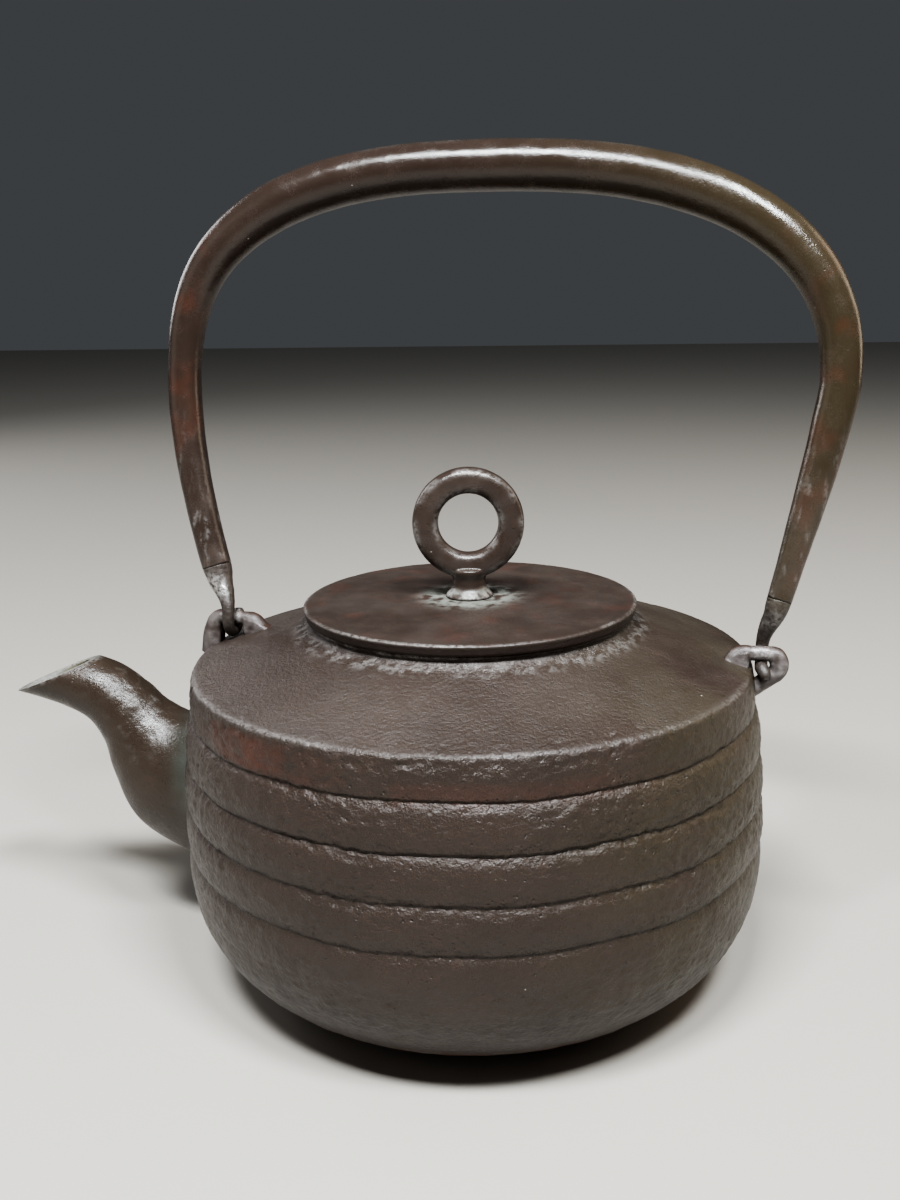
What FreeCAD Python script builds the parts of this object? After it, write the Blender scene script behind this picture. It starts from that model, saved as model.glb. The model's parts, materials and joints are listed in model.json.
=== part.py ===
# Cast iron kettle (tetsubin style) with a ribbed body, gooseneck spout, flat lid and swinging handle.
# Millimetres. +Z is up, the origin is the middle of the flat foot, -X is the spout, +X the rear lug.
import FreeCAD, Part
import math
import os
import Sketcher
from FreeCAD import Placement, Rotation, Vector

DOC = FreeCAD.newDocument("cast_iron_kettle")

# ---------------------------------------------------------------- driving dimensions
DIMENSIONS = [
    # kettle body
    ("foot_radius", 41.5, "flat foot"),
    ("bowl_bulge", 8.4, "how far the bowl bulges out from the chord between foot and lowest crease"),
    ("belly_radius", 80.3, "largest radius of the barrel curve that the ribs stay under"),
    ("belly_height", 46.0, "height of the largest radius"),
    ("barrel_radius", 214.0, "radius of the barrel curve of the wall"),
    ("lowest_crease", 30.0, "height of the lowest crease between two ribs"),
    ("rib_pitch", 12.2, "height of one rib"),
    ("crease_depth", 0.8, "how far a crease lies under the barrel curve"),
    ("rib_crown", 0.7, "how far a rib bulges out from the line between its creases"),
    ("shoulder_radius", 75.9, "edge where the wall turns into the shoulder"),
    ("shoulder_height", 89.4, "height of that edge"),
    ("edge_drop", 2.0, "height of the rounded corner under that edge"),
    ("edge_swell", 0.4, "how far the foot of that corner stands outside the edge"),
    ("edge_round", 0.55, "bulge of the rounded corner"),
    ("edge_width", 1.4, "width of the rounded corner on the shoulder"),
    ("edge_rise", 0.35, "its rise on the shoulder"),
    ("shoulder_top_radius", 47.5, "inner end of the sloping shoulder"),
    ("shoulder_top_height", 98.5, "height there"),
    ("neck_hollow", 0.9, "hollow of the fillet from shoulder to rim"),
    ("neck_radius", 43.4, "outside of the neck"),
    ("mouth_radius", 39.5, "inside of the neck"),
    ("rim_height", 102.4, "top of the neck"),
    ("wall", 3.5, "thickness of the cast wall"),
    ("floor_inset", 1.5, "how far the level floor ends inside the foot's radius"),
    ("inner_bowl_bulge", 7.4, "bulge of the hollow's bowl"),
    ("inner_side_bulge", 1.3, "bulge of the hollow's side"),
    ("vault_foot_drop", 4.6, "where the hollow's side ends, under the shoulder's edge"),
    ("vault_foot_shift", 0.3, "how far outside one wall thickness it ends there"),
    ("vault_round", 0.6, "bulge of the corner from side to vault"),
    ("vault_corner_width", 2.6, "width of that corner"),
    ("vault_corner_drop", 2.2, "its upper end under the shoulder's edge"),
    ("throat_width", 5.5, "width of the round from vault to mouth"),
    ("throat_drop", 3.3, "its lower end under the shoulder's top"),
    ("throat_rise", 0.5, "its upper end over the shoulder's top"),
    ("throat_round", 0.4, "bulge of that round"),
    # lid and knob
    ("lid_radius", 45.4, "lid at its top edge"),
    ("lid_edge", 3.0, "thickness of the lid's edge"),
    ("lid_crown", 0.7, "how far the lid's top is domed"),
    ("lid_gap", 0.1, "seat clearance over the rim"),
    ("lid_chamfer", 0.7, "broken edge of the lid"),
    ("lid_edge_dome", 0.2, "roundness of that broken edge"),
    ("lid_top_dome", 0.15, "roundness of the lid's top"),
    ("flange_draft", 0.5, "taper of the flange on each side"),
    ("flange_radius", 38.8, "locating flange under the lid"),
    ("flange_wall", 2.6, "thickness of that flange"),
    ("flange_depth", 8.0, "how far the flange reaches into the neck"),
    ("ring_radius", 11.6, "centre line of the knob's ring"),
    ("ring_bar", 3.5, "radius of the ring's bar"),
    ("ring_height", 21.0, "ring centre above the lid's edge"),
    ("stem_radius", 4.0, "waist of the knob's stem"),
    ("stem_foot", 5.2, "foot of the stem"),
    ("stem_waist_height", 3.5, "height of the waist over the lid"),
    ("stem_flare", 0.35, "hollow of the stem on both sides of the waist"),
    ("stem_overlap", 1.6, "how far the stem runs up into the ring"),
    ("fit_gap", 0.02, "gap that keeps the knob, the lid and the washer apart"),
    ("tang_radius", 2.6, "tang through the lid"),
    ("tang_clearance", 0.1, "radial play of the tang in the lid and washer"),
    ("washer_radius", 7.0, "washer under the lid"),
    ("washer_thickness", 1.2, "its thickness"),
    ("peen_radius", 4.4, "riveted end of the tang"),
    ("peen_height", 1.6, "its thickness"),
    ("peen_taper", 1.2, "how much narrower its face is"),
    ("peen_round", 0.3, "roundness of its side"),
    ("knob_turn", 12.0, "turn of the ring about the lid's axis, degrees"),
    # spout
    ("spigot_radius", 11.5, "round spigot of the spout cast into the wall"),
    ("spigot_height", 45.0, "height of the spigot's axis"),
    ("spout_wall", 2.8, "thickness of the spout's wall"),
    ("lip_reach", 140.5, "tip of the pouring lip from the kettle's axis"),
    ("lip_height", 72.5, "height of that tip"),
    ("lip_slope", 22.6, "slope of the cut mouth, degrees"),
    # lugs and hinge
    ("front_pivot_reach", 69.5, "front lug's bar from the kettle's axis"),
    ("front_pivot_height", 97.4, "height of the front bar"),
    ("rear_pivot_reach", 78.3, "rear lug's bar from the kettle's axis"),
    ("rear_pivot_height", 93.2, "height of the rear bar"),
    ("bar_radius", 2.0, "round bar of each lug"),
    ("hook_radius", 1.7, "rod of each hook where it passes the bar"),
    ("hook_gap", 0.15, "clearance between bar and hook"),
    ("hook_tip", 1.2, "straight end of each hook beyond its bend"),
    # handle
    ("handle_lean", 10.0, "lean of the handle from upright as it stands, towards +Y, degrees"),
    ("front_half_span", 90.7, "handle's widest reach to the front of the hinge middle"),
    ("rear_half_span", 88.9, "the same to the rear"),
    ("knee_height", 70.0, "where the legs are widest apart, above the hinge"),
    ("handle_rise", 125.8, "top of the handle's centre line above the hinge"),
    ("front_squareness", 2.6, "exponent of the front shoulder's curve"),
    ("rear_squareness", 2.4, "exponent of the rear shoulder's curve"),
    ("front_bow", 1.7, "exponent of the front leg's bow"),
    ("rear_bow", 1.15, "exponent of the rear leg's bow"),
    ("grip_radius", 6.7, "handle tube at its top"),
    ("front_knee_radius", 4.5, "tube at the front knee"),
    ("rear_knee_radius", 5.1, "tube at the rear knee"),
    ("front_end_radius", 4.0, "tube at its front end"),
    ("rear_end_radius", 3.1, "tube at its rear end"),
    ("tube_end", 14.5, "lower ends of the tube above the hinge"),
    ("sheet", 1.2, "thickness of the tube's sheet iron"),
    ("shank_depth", 9.0, "how far each hook's shank reaches into the tube"),
    ("shank_gap", 0.3, "play of the shank in the tube"),
    ("shank_overlap", 0.2, "how far the shank starts inside the neck of the hook"),
]

sheet = DOC.addObject("Spreadsheet::Sheet", "Dimensions")
for row, (alias, value, note) in enumerate(DIMENSIONS, start=1):
    sheet.set("A%d" % row, alias)
    sheet.set("B%d" % row, str(value))
    sheet.set("C%d" % row, note)
    sheet.setAlias("B%d" % row, alias)
DOC.recompute()


def dim(alias):
    """Value of a driving dimension."""
    return float(sheet.get(alias))


def ref(alias):
    """The same dimension as an expression."""
    return "Dimensions." + alias


def sum_of(first, second):
    """Two driving dimensions added, as an expression."""
    return "%s + %s" % (ref(first), ref(second))


def difference(first, second):
    """One driving dimension less another, as an expression."""
    return "%s - %s" % (ref(first), ref(second))


# ---------------------------------------------------------------- sketch helpers
def origin_plane(body, role):
    return [item for item in body.Origin.OriginFeatures if item.Role == role][0]


def new_body(name, label):
    body = DOC.addObject("PartDesign::Body", name)
    body.Label = label
    return body


def new_sketch(body, name, role="XZ_Plane"):
    sketch = body.newObject("Sketcher::SketchObject", name)
    sketch.AttachmentSupport = [(origin_plane(body, role), "")]
    sketch.MapMode = "FlatFace"
    return sketch


def evaluate(expression):
    """Number that an expression over the driving dimensions gives."""
    sheet.set("E1", "=" + expression.replace("Dimensions.", ""))
    sheet.recompute()
    return float(sheet.get("E1"))


def bind_point(sketch, geometry, end, across, up):
    """Fix one end of a curve at two expressions."""
    for kind, text in (("DistanceX", across), ("DistanceY", up)):
        value = evaluate(text)
        index = sketch.addConstraint(Sketcher.Constraint(kind, -1, 1, geometry, end, value))
        sketch.setExpression("Constraints[%d]" % index, text)


def outline(sketch, corners, closed=True):
    """Chain of lines and arcs. A corner is (across, up, bulge): texts for its place and for
    the bulge of the curve to the next corner, to the left of the way there; bulge None is a line."""
    places = [Vector(evaluate(across), evaluate(up), 0) for across, up, bulge in corners]
    count = len(corners) if closed else len(corners) - 1
    curves = []
    for i in range(count):
        begin = places[i]
        finish = places[(i + 1) % len(corners)]
        bulge = corners[i][2]
        if bulge is None:
            curves.append(sketch.addGeometry(Part.LineSegment(begin, finish)))
            continue
        chord = finish - begin
        sideways = Vector(-chord.y, chord.x, 0).normalize()
        sagitta = evaluate(bulge)
        crest = (begin + finish) * 0.5 + sideways * sagitta
        curves.append(sketch.addGeometry(Part.Arc(begin, crest, finish)))
    for i in range(count):
        bulge = corners[i][2]
        begin_end = 1
        if bulge is not None:
            begin_end = arc_start(sketch, curves[i], places[i])
        bind_point(sketch, curves[i], begin_end, corners[i][0], corners[i][1])
        following = (i + 1) % len(corners)
        if closed or following:
            last_end = 3 - begin_end
            if i + 1 < count or closed:
                after = curves[(i + 1) % count]
                after_end = arc_start(sketch, after, places[following])
                sketch.addConstraint(Sketcher.Constraint("Coincident", curves[i], last_end, after, after_end))
            else:
                bind_point(sketch, curves[i], last_end, corners[following][0], corners[following][1])
        if bulge is not None:
            radius = sketch.Geometry[curves[i]].Radius
            sketch.addConstraint(Sketcher.Constraint("Radius", curves[i], radius))
    return sketch


def arc_start(sketch, geometry, place):
    """Which end of a curve (1 or 2) lies at a place."""
    first = sketch.getPoint(geometry, 1)
    return 1 if (first - place).Length < 1e-4 else 2


def revolve(body, sketch, name, cut=False):
    feature = body.newObject("PartDesign::Groove" if cut else "PartDesign::Revolution", name)
    feature.Profile = sketch
    feature.ReferenceAxis = (sketch, ["V_Axis"])
    feature.Angle = 360
    DOC.recompute()
    return feature


# ---------------------------------------------------------------- kettle body
def crease_height(number):
    return "%s + %d * %s" % (ref("lowest_crease"), number, ref("rib_pitch"))


def barrel(height):
    """Barrel curve of the wall, as an expression of a height."""
    rise = "(%s - %s)" % (height, ref("belly_height"))
    return "%s - %s * %s / (2 * %s)" % (ref("belly_radius"), rise, rise, ref("barrel_radius"))


RIB_COUNT = 5


def outer_corners():
    """Half section of the body's outside, from the foot's middle to the rim and back down."""
    corners = [("0", "0", None)]
    corners.append((ref("foot_radius"), "0", "-" + ref("bowl_bulge")))
    for number in range(RIB_COUNT):
        height = crease_height(number)
        radius = "%s - %s" % (barrel("(" + height + ")"), ref("crease_depth"))
        crown = "-" + ref("rib_crown")
        corners.append((radius, height, crown))
    corners[-1] = (corners[-1][0], corners[-1][1], "-0.5 * " + ref("rib_crown"))
    edge_foot = difference("shoulder_height", "edge_drop")
    corners.append((sum_of("shoulder_radius", "edge_swell"), edge_foot, "-" + ref("edge_round")))
    edge_top = sum_of("shoulder_height", "edge_rise")
    corners.append((difference("shoulder_radius", "edge_width"), edge_top, None))
    corners.append((ref("shoulder_top_radius"), ref("shoulder_top_height"), ref("neck_hollow")))
    corners.append((ref("neck_radius"), ref("rim_height"), None))
    corners.append(("0", ref("rim_height"), None))
    return corners


def inner_corners():
    """Half section of the hollow, one wall thickness inside."""
    wall = ref("wall")
    lowest = "(%s)" % ref("lowest_crease")
    side = "%s - %s - %s" % (barrel(lowest), ref("crease_depth"), wall)
    under_edge = "%s - %s + %s" % (ref("shoulder_radius"), wall, ref("vault_foot_shift"))
    vault_foot = difference("shoulder_height", "vault_foot_drop")
    vault_corner = "%s - %s" % (under_edge, ref("vault_corner_width"))
    over_rim = sum_of("rim_height", "wall")
    return [
        ("0", wall, None),
        (difference("foot_radius", "floor_inset"), wall, "-" + ref("inner_bowl_bulge")),
        (side, lowest, "-" + ref("inner_side_bulge")),
        (under_edge, vault_foot, "-" + ref("vault_round")),
        (vault_corner, difference("shoulder_height", "vault_corner_drop"), None),
        (sum_of("mouth_radius", "throat_width"), difference("shoulder_top_height", "throat_drop"),
         ref("throat_round")),
        (ref("mouth_radius"), sum_of("shoulder_top_height", "throat_rise"), None),
        (ref("mouth_radius"), over_rim, None),
        ("0", over_rim, None),
    ]


def make_shell():
    body = new_body("KettleShell", "kettle_shell")
    outside = outline(new_sketch(body, "OuterProfile"), outer_corners())
    revolve(body, outside, "OuterTurn")
    inside = outline(new_sketch(body, "CavityProfile"), inner_corners())
    revolve(body, inside, "Cavity", cut=True)
    hole = new_sketch(body, "SpigotHole", "YZ_Plane")
    middle = Vector(0, dim("spigot_height"), 0)
    circle = hole.addGeometry(Part.Circle(middle, Vector(0, 0, 1), dim("spigot_radius")))
    index = hole.addConstraint(Sketcher.Constraint("Radius", circle, dim("spigot_radius")))
    hole.setExpression("Constraints[%d]" % index, ref("spigot_radius"))
    bind_point(hole, circle, 3, "0", ref("spigot_height"))
    pocket = body.newObject("PartDesign::Pocket", "SpigotPocket")
    pocket.Profile = hole
    pocket.Type = "Length"
    pocket.setExpression("Length", sum_of("belly_radius", "wall"))
    DOC.recompute()
    if body.Shape.Solids[0].CenterOfMass.x < 0:
        pocket.Reversed = True
        DOC.recompute()
    return body


# ---------------------------------------------------------------- hinge geometry
def hinge_frame():
    """Middle of the hinge and its tilt: the front bar sits a little higher than the rear one."""
    front = Vector(-dim("front_pivot_reach"), 0, dim("front_pivot_height"))
    rear = Vector(dim("rear_pivot_reach"), 0, dim("rear_pivot_height"))
    along = rear - front
    return (front + rear) * 0.5, math.degrees(math.atan2(-along.z, along.x)), along.Length / 2


HINGE_MIDDLE, HINGE_TILT, HINGE_HALF = hinge_frame()
HOOK_TRACK = dim("bar_radius") + dim("hook_gap") + dim("hook_radius")
FRONT, REAR = -1, 1


# ---------------------------------------------------------------- lugs
# Path of each lug's bent bar, from its inner root over the level hinge bar to its outer root:
# distance outwards from the bar's middle, height over it, radius of the bend there.
FRONT_LUG_PATH = [
    (-7.6, -6.2, None),
    (-7.6, 0.0, 3.4),
    (6.2, 0.0, 3.2),
    (6.0, -5.0, 6.0),
    (4.6, -10.4, None),
]
REAR_LUG_PATH = [
    (-7.4, -4.6, None),
    (-7.4, 0.0, 2.4),
    (4.3, 0.0, 2.3),
    (4.3, -6.2, 2.6),
    (-2.4, -11.6, None),
]


def make_lug(name, side, corners):
    """Round bar bent into an arch, drawn with the hinge bar's middle at the origin and +X
    pointing away from the kettle's axis."""
    body = new_body(name + "_bar", name)
    path = new_sketch(body, name + "_path")
    points = [Vector(outwards, up, 0) for outwards, up, bend in corners]
    wire = rounded_path(points, [bend for outwards, up, bend in corners[1:-1]])
    numbers = [path.addGeometry(curve) for curve, begin, finish in wire]
    for i in range(1, len(wire)):
        meeting = wire[i][1]
        before_end = arc_start(path, numbers[i - 1], meeting)
        after_end = arc_start(path, numbers[i], meeting)
        joint = Sketcher.Constraint("Coincident", numbers[i - 1], before_end, numbers[i], after_end)
        path.addConstraint(joint)
    round_section = new_sketch(body, name + "_section", "XY_Plane")
    round_section.AttachmentOffset = Placement(Vector(points[0].x, 0, points[0].y), Rotation())
    circle = round_section.addGeometry(Part.Circle(Vector(0, 0, 0), Vector(0, 0, 1), dim("bar_radius")))
    index = round_section.addConstraint(Sketcher.Constraint("Radius", circle, dim("bar_radius")))
    round_section.setExpression("Constraints[%d]" % index, ref("bar_radius"))
    round_section.addConstraint(Sketcher.Constraint("Coincident", circle, 3, -1, 1))
    sweep = body.newObject("PartDesign::AdditivePipe", name + "_sweep")
    sweep.Profile = round_section
    sweep.Spine = (path, [])
    sweep.Transition = "Round corner"
    DOC.recompute()
    turn = Rotation(Vector(0, 1, 0), HINGE_TILT)
    if side == FRONT:
        turn = turn.multiply(Rotation(Vector(0, 0, 1), 180))
    reach = dim("front_pivot_reach") if side == FRONT else dim("rear_pivot_reach")
    height = dim("front_pivot_height") if side == FRONT else dim("rear_pivot_height")
    body.Placement = Placement(Vector(side * reach, 0, height), turn)
    return body


def rounded_path(points, rounds):
    """Line segments through the points, with an arc of the given radius at each inner point."""
    curves = []
    begin = points[0]
    for i in range(1, len(points) - 1):
        back = (points[i - 1] - points[i]).normalize()
        on = (points[i + 1] - points[i]).normalize()
        half = back.getAngle(on) / 2
        radius = rounds[i - 1]
        cut = radius / math.tan(half)
        arrive = points[i] + back * cut
        leave = points[i] + on * cut
        centre = points[i] + (back + on).normalize() * (radius / math.sin(half))
        crest = centre + (points[i] - centre).normalize() * radius
        curves.append((Part.LineSegment(begin, arrive), begin, arrive))
        curves.append((Part.Arc(arrive, crest, leave), arrive, leave))
        begin = leave
    curves.append((Part.LineSegment(begin, points[-1]), begin, points[-1]))
    return curves


FRONT_LUG = make_lug("front_lug", FRONT, FRONT_LUG_PATH)
REAR_LUG = make_lug("rear_lug", REAR, REAR_LUG_PATH)


# ---------------------------------------------------------------- spout
# Along the spout: reach from the kettle's axis, height, climb of the water's way in degrees,
# half height and half width of the oval section.
SPOUT_STATIONS = [
    (72.0, 50.0, 6.0, 29.0, 19.5),
    (82.0, 47.8, 14.0, 23.6, 17.0),
    (93.5, 50.5, 30.0, 18.8, 14.8),
    (101.3, 59.5, 38.0, 13.4, 12.0),
    (105.6, 66.6, 33.0, 10.9, 10.6),
    (112.0, 72.7, 25.0, 9.5, 9.6),
    (120.5, 76.0, 17.0, 8.7, 8.8),
    (131.5, 78.6, 12.0, 8.3, 8.2),
    (146.0, 81.4, 10.0, 8.1, 7.8),
]
BORE_RADIUS = dim("spigot_radius") - dim("spout_wall")
OVAL_POINTS = 8
CUTTER = Vector(120, 80, 60)


def oval(reach, height, climb, half_height, half_width):
    """Oval wire across the spout, at right angles to the water's way."""
    across = Vector(0, 1, 0)
    way = Vector(-math.cos(math.radians(climb)), 0, math.sin(math.radians(climb)))
    up = Vector(-way.z, 0, way.x) * -1
    points = []
    for step in range(OVAL_POINTS):
        turn = 2 * math.pi * step / OVAL_POINTS
        offset = up * (half_height * math.cos(turn)) + across * (half_width * math.sin(turn))
        points.append(Vector(-reach, 0, height) + offset)
    curve = Part.BSplineCurve()
    curve.interpolate(points, PeriodicFlag=True)
    return Part.Wire(curve.toShape())


def make_spout():
    wall = dim("spout_wall")
    axis_height = dim("spigot_height")
    skin = Part.makeLoft([oval(*station) for station in SPOUT_STATIONS], True, False)
    inner_end = SPOUT_STATIONS[0][0]
    bore = [oval(reach, axis_height, 0, BORE_RADIUS, BORE_RADIUS) for reach in (inner_end - 6, inner_end + 1)]
    for reach, height, climb, half_height, half_width in SPOUT_STATIONS[1:]:
        bore.append(oval(reach, height, climb, half_height - wall, half_width - wall))
    channel = Part.makeLoft(bore, True, False)
    full_body = SHELL.getObject("OuterTurn").Shape
    outside = max(skin.cut(full_body).Solids, key=lambda solid: solid.Volume)
    axis_start = Vector(0, 0, axis_height)
    plug = Part.makeCylinder(dim("spigot_radius"), dim("belly_radius"), axis_start, Vector(-1, 0, 0))
    hollow = full_body.cut(SHELL.getObject("Cavity").Shape)
    spigot = plug.common(full_body).cut(hollow)
    above_lip = Part.makeBox(CUTTER.x, CUTTER.y, CUTTER.z, Vector(-CUTTER.x / 2, -CUTTER.y / 2, 0))
    lip = Vector(-dim("lip_reach"), 0, dim("lip_height"))
    above_lip.Placement = Placement(lip, Rotation(Vector(0, 1, 0), -dim("lip_slope")))
    joined = outside.fuse(spigot).cut(channel).cut(above_lip)
    feature = DOC.addObject("Part::Feature", "Spout")
    feature.Label = "spout"
    feature.Shape = max(joined.Solids, key=lambda solid: solid.Volume)
    return feature


# ---------------------------------------------------------------- handle
def smooth(value, low, high):
    """Smooth step from 0 at low to 1 at high."""
    share = min(1.0, max(0.0, (value - low) / (high - low)))
    return share * share * (3 - 2 * share)


def half_span(side):
    return dim("front_half_span") if side == FRONT else dim("rear_half_span")


def leg_point(side, height):
    """Centre line of a leg in the handle's plane, at a height above the hinge."""
    bow = dim("front_bow") if side == FRONT else dim("rear_bow")
    share = 1 - (1 - height / dim("knee_height")) ** bow
    across = HINGE_HALF + (half_span(side) - HINGE_HALF) * share
    return Vector(side * across, 0, height)


def leg_way(side, height):
    """Direction of a leg's centre line, pointing down."""
    return (leg_point(side, height - 1) - leg_point(side, height + 1)).normalize()


def arch_point(side, angle):
    """Centre line above the knees: a quarter of a superellipse, angle 0 at the knee, 90 on top."""
    squareness = dim("front_squareness") if side == FRONT else dim("rear_squareness")
    turn = math.radians(angle)
    across = half_span(side) * max(0.0, math.cos(turn)) ** (2 / squareness)
    rise = dim("handle_rise") - dim("knee_height")
    return Vector(side * across, 0, dim("knee_height") + rise * math.sin(turn) ** (2 / squareness))


def tube_radius(side, height):
    """Outside radius of the tube: thick along the grip, thinner down the legs."""
    knee = dim("front_knee_radius") if side == FRONT else dim("rear_knee_radius")
    end = dim("front_end_radius") if side == FRONT else dim("rear_end_radius")
    low = smooth(height, dim("tube_end") - 10, dim("knee_height"))
    top = smooth(height, dim("knee_height") - 5, dim("handle_rise"))
    return end + (knee - end) * low + (dim("grip_radius") - knee) * top


LEG_STEPS = 6
ARCH_STEPS = 6


def spine():
    """Centre line points of the whole tube with their radii, front end to rear end."""
    stations = []
    for side in (FRONT, REAR):
        branch = []
        for step in range(LEG_STEPS):
            height = dim("tube_end") + (dim("knee_height") - dim("tube_end")) * step / LEG_STEPS
            branch.append(leg_point(side, height))
        for step in range(ARCH_STEPS):
            branch.append(arch_point(side, 90.0 * step / ARCH_STEPS))
        branch = [(point, tube_radius(side, point.z)) for point in branch]
        stations.append(branch)
    top = (arch_point(FRONT, 90), dim("grip_radius"))
    return stations[0] + [top] + stations[1][::-1]


def ring_across(point, way, radius):
    return Part.Wire(Part.Circle(point, way, radius).toShape())


def tapered_rod(stations, first_way, last_way):
    """Solid rod through a list of (centre, radius), with the directions of its two ends."""
    rings = []
    for number, (point, radius) in enumerate(stations):
        if number == 0:
            way = first_way
        elif number == len(stations) - 1:
            way = last_way
        else:
            way = (stations[number + 1][0] - stations[number - 1][0]).normalize()
        rings.append(ring_across(point, way, radius))
    return Part.makeLoft(rings, True, False)


HANDLE_PLACE = Placement(HINGE_MIDDLE, Rotation(Vector(0, 1, 0), HINGE_TILT).multiply(
    Rotation(Vector(1, 0, 0), -dim("handle_lean"))))


def handle_piece(label, shape):
    feature = DOC.addObject("Part::Feature", label)
    feature.Label = label
    feature.Shape = shape
    feature.Placement = HANDLE_PLACE
    return feature


def make_tube():
    stations = spine()
    ends = (leg_way(FRONT, dim("tube_end")) * -1, leg_way(REAR, dim("tube_end")))
    outside = tapered_rod(stations, *ends)
    inside = tapered_rod([(point, radius - dim("sheet")) for point, radius in stations], *ends)
    return handle_piece("handle_tube", outside.cut(inside))


NECK_SHARES = (1.0, 0.78, 0.56, 0.36, 0.16, 0.0)


def make_hook(label, side):
    """Solid forged end: a shank inside the tube, a tapering neck that steps aside, and a
    half-round hook under the lug's bar that ends in a short tip."""
    track = HOOK_TRACK
    end = dim("tube_end")
    thick = tube_radius(side, end)
    thin = dim("hook_radius")
    neck = []
    for share in NECK_SHARES:
        height = share * end
        on_spine = smooth(height, 0, 0.8 * end)
        point = leg_point(side, height) * on_spine + Vector(side * HINGE_HALF, 0, height) * (1 - on_spine)
        point.y = side * track * (1 - smooth(height, 0.1 * end, 0.95 * end))
        neck.append((point, thin + (thick - thin) * smooth(height, 0.1 * end, 1.05 * end)))
    rod = tapered_rod(neck, leg_way(side, end), Vector(0, 0, -1))
    shank_heights = (end - dim("shank_overlap"), end + dim("shank_depth") / 2, end + dim("shank_depth"))
    shank_stations = []
    for height in shank_heights:
        thin_enough = tube_radius(side, height) - dim("sheet") - dim("shank_gap")
        shank_stations.append((leg_point(side, height), thin_enough))
    shank_ways = [leg_way(side, height) * -1 for height in (shank_heights[0], shank_heights[-1])]
    shank = tapered_rod(shank_stations, *shank_ways)
    pivot = Vector(side * HINGE_HALF, 0, 0)
    bend = Part.makeTorus(track, thin, pivot, Vector(1, 0, 0), 0, 360, 360)
    reach = track + 2 * thin
    lower_half = Part.makeBox(2 * reach, 2 * reach, reach, pivot - Vector(reach, reach, reach))
    bend = bend.common(lower_half)
    tip = Part.makeCylinder(thin, dim("hook_tip"), pivot - Vector(0, side * track, 0), Vector(0, 0, 1))
    ball = Part.makeSphere(thin, pivot + Vector(0, -side * track, dim("hook_tip")))
    hook = rod.fuse([shank, bend, tip, ball]).removeSplitter()
    return handle_piece(label, hook)


# ---------------------------------------------------------------- lid, knob and washer
def turned_piece(name, label, corners):
    body = new_body(name, label)
    revolve(body, outline(new_sketch(body, name + "Profile"), corners), name + "Turn")
    return body


LID_UNDER = ref("rim_height") + " + " + ref("lid_gap")
LID_TOP = LID_UNDER + " + " + ref("lid_edge")
TANG_HOLE = ref("tang_radius") + " + " + ref("tang_clearance")


def make_lid():
    flange_end = LID_UNDER + " - " + ref("flange_depth")
    flange_inside = ref("flange_radius") + " - " + ref("flange_wall")
    return turned_piece("Lid", "lid", [
        (TANG_HOLE, LID_UNDER, None),
        (flange_inside, LID_UNDER, None),
        (flange_inside + " + " + ref("flange_draft"), flange_end, None),
        (difference("flange_radius", "flange_draft"), flange_end, None),
        (ref("flange_radius"), LID_UNDER, None),
        (difference("lid_radius", "lid_chamfer"), LID_UNDER, None),
        (ref("lid_radius"), LID_TOP + " - " + ref("lid_chamfer"), "-" + ref("lid_edge_dome")),
        (difference("lid_radius", "lid_chamfer"), LID_TOP, "-" + ref("lid_top_dome")),
        (TANG_HOLE, LID_TOP + " + " + ref("lid_crown"), None),
    ])


def make_knob():
    seat = "%s + %s + %s" % (LID_TOP, ref("lid_crown"), ref("fit_gap"))
    washer_under = "%s - %s - 2 * %s" % (LID_UNDER, ref("washer_thickness"), ref("fit_gap"))
    peen_under = washer_under + " - " + ref("peen_height")
    waist = seat + " + " + ref("stem_waist_height")
    ring_under = "%s + %s - %s" % (LID_TOP, ref("ring_height"), ref("ring_radius"))
    stem_top = ring_under + " + " + ref("stem_overlap")
    stem = turned_piece("KnobStem", "knob_stem", [
        ("0", peen_under, None),
        (difference("peen_radius", "peen_taper"), peen_under, "-" + ref("peen_round")),
        (ref("peen_radius"), washer_under, None),
        (ref("tang_radius"), washer_under, None),
        (ref("tang_radius"), seat, None),
        (ref("stem_foot"), seat, ref("stem_flare")),
        (ref("stem_radius"), waist, ref("stem_flare")),
        (ref("stem_foot"), stem_top, None),
        ("0", stem_top, None),
    ])
    ring = DOC.addObject("Part::Torus", "KnobRing")
    ring.setExpression("Radius1", ref("ring_radius"))
    ring.setExpression("Radius2", ref("ring_bar"))
    upright = Rotation(Vector(0, 0, 1), dim("knob_turn")).multiply(Rotation(Vector(1, 0, 0), 90))
    ring.Placement = Placement(Vector(0, 0, evaluate(LID_TOP) + dim("ring_height")), upright)
    ring.setExpression("Placement.Base.z", LID_TOP + " + " + ref("ring_height"))
    knob = DOC.addObject("Part::MultiFuse", "LidKnob")
    knob.Shapes = [stem, ring]
    knob.Label = "lid_knob"
    return knob


def make_washer():
    top = "%s - %s" % (LID_UNDER, ref("fit_gap"))
    bottom = "%s - %s" % (top, ref("washer_thickness"))
    return turned_piece("KnobWasher", "knob_washer", [
        (TANG_HOLE, bottom, None),
        (ref("washer_radius"), bottom, None),
        (ref("washer_radius"), top, None),
        (TANG_HOLE, top, None),
    ])


# ---------------------------------------------------------------- the assembly
SHELL = make_shell()
lug_roots = DOC.addObject("Part::MultiFuse", "LugRoots")
lug_roots.Shapes = [FRONT_LUG, REAR_LUG]
KETTLE = DOC.addObject("Part::Cut", "KettleBody")
KETTLE.Base = SHELL
KETTLE.Tool = lug_roots
KETTLE.Label = "kettle_body"
NODES = [KETTLE, make_spout(), FRONT_LUG, REAR_LUG, make_lid(), make_knob(), make_washer(),
         make_tube(), make_hook("front_hook", FRONT), make_hook("rear_hook", REAR)]
sheet.set("E1", "")
DOC.recompute()

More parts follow.
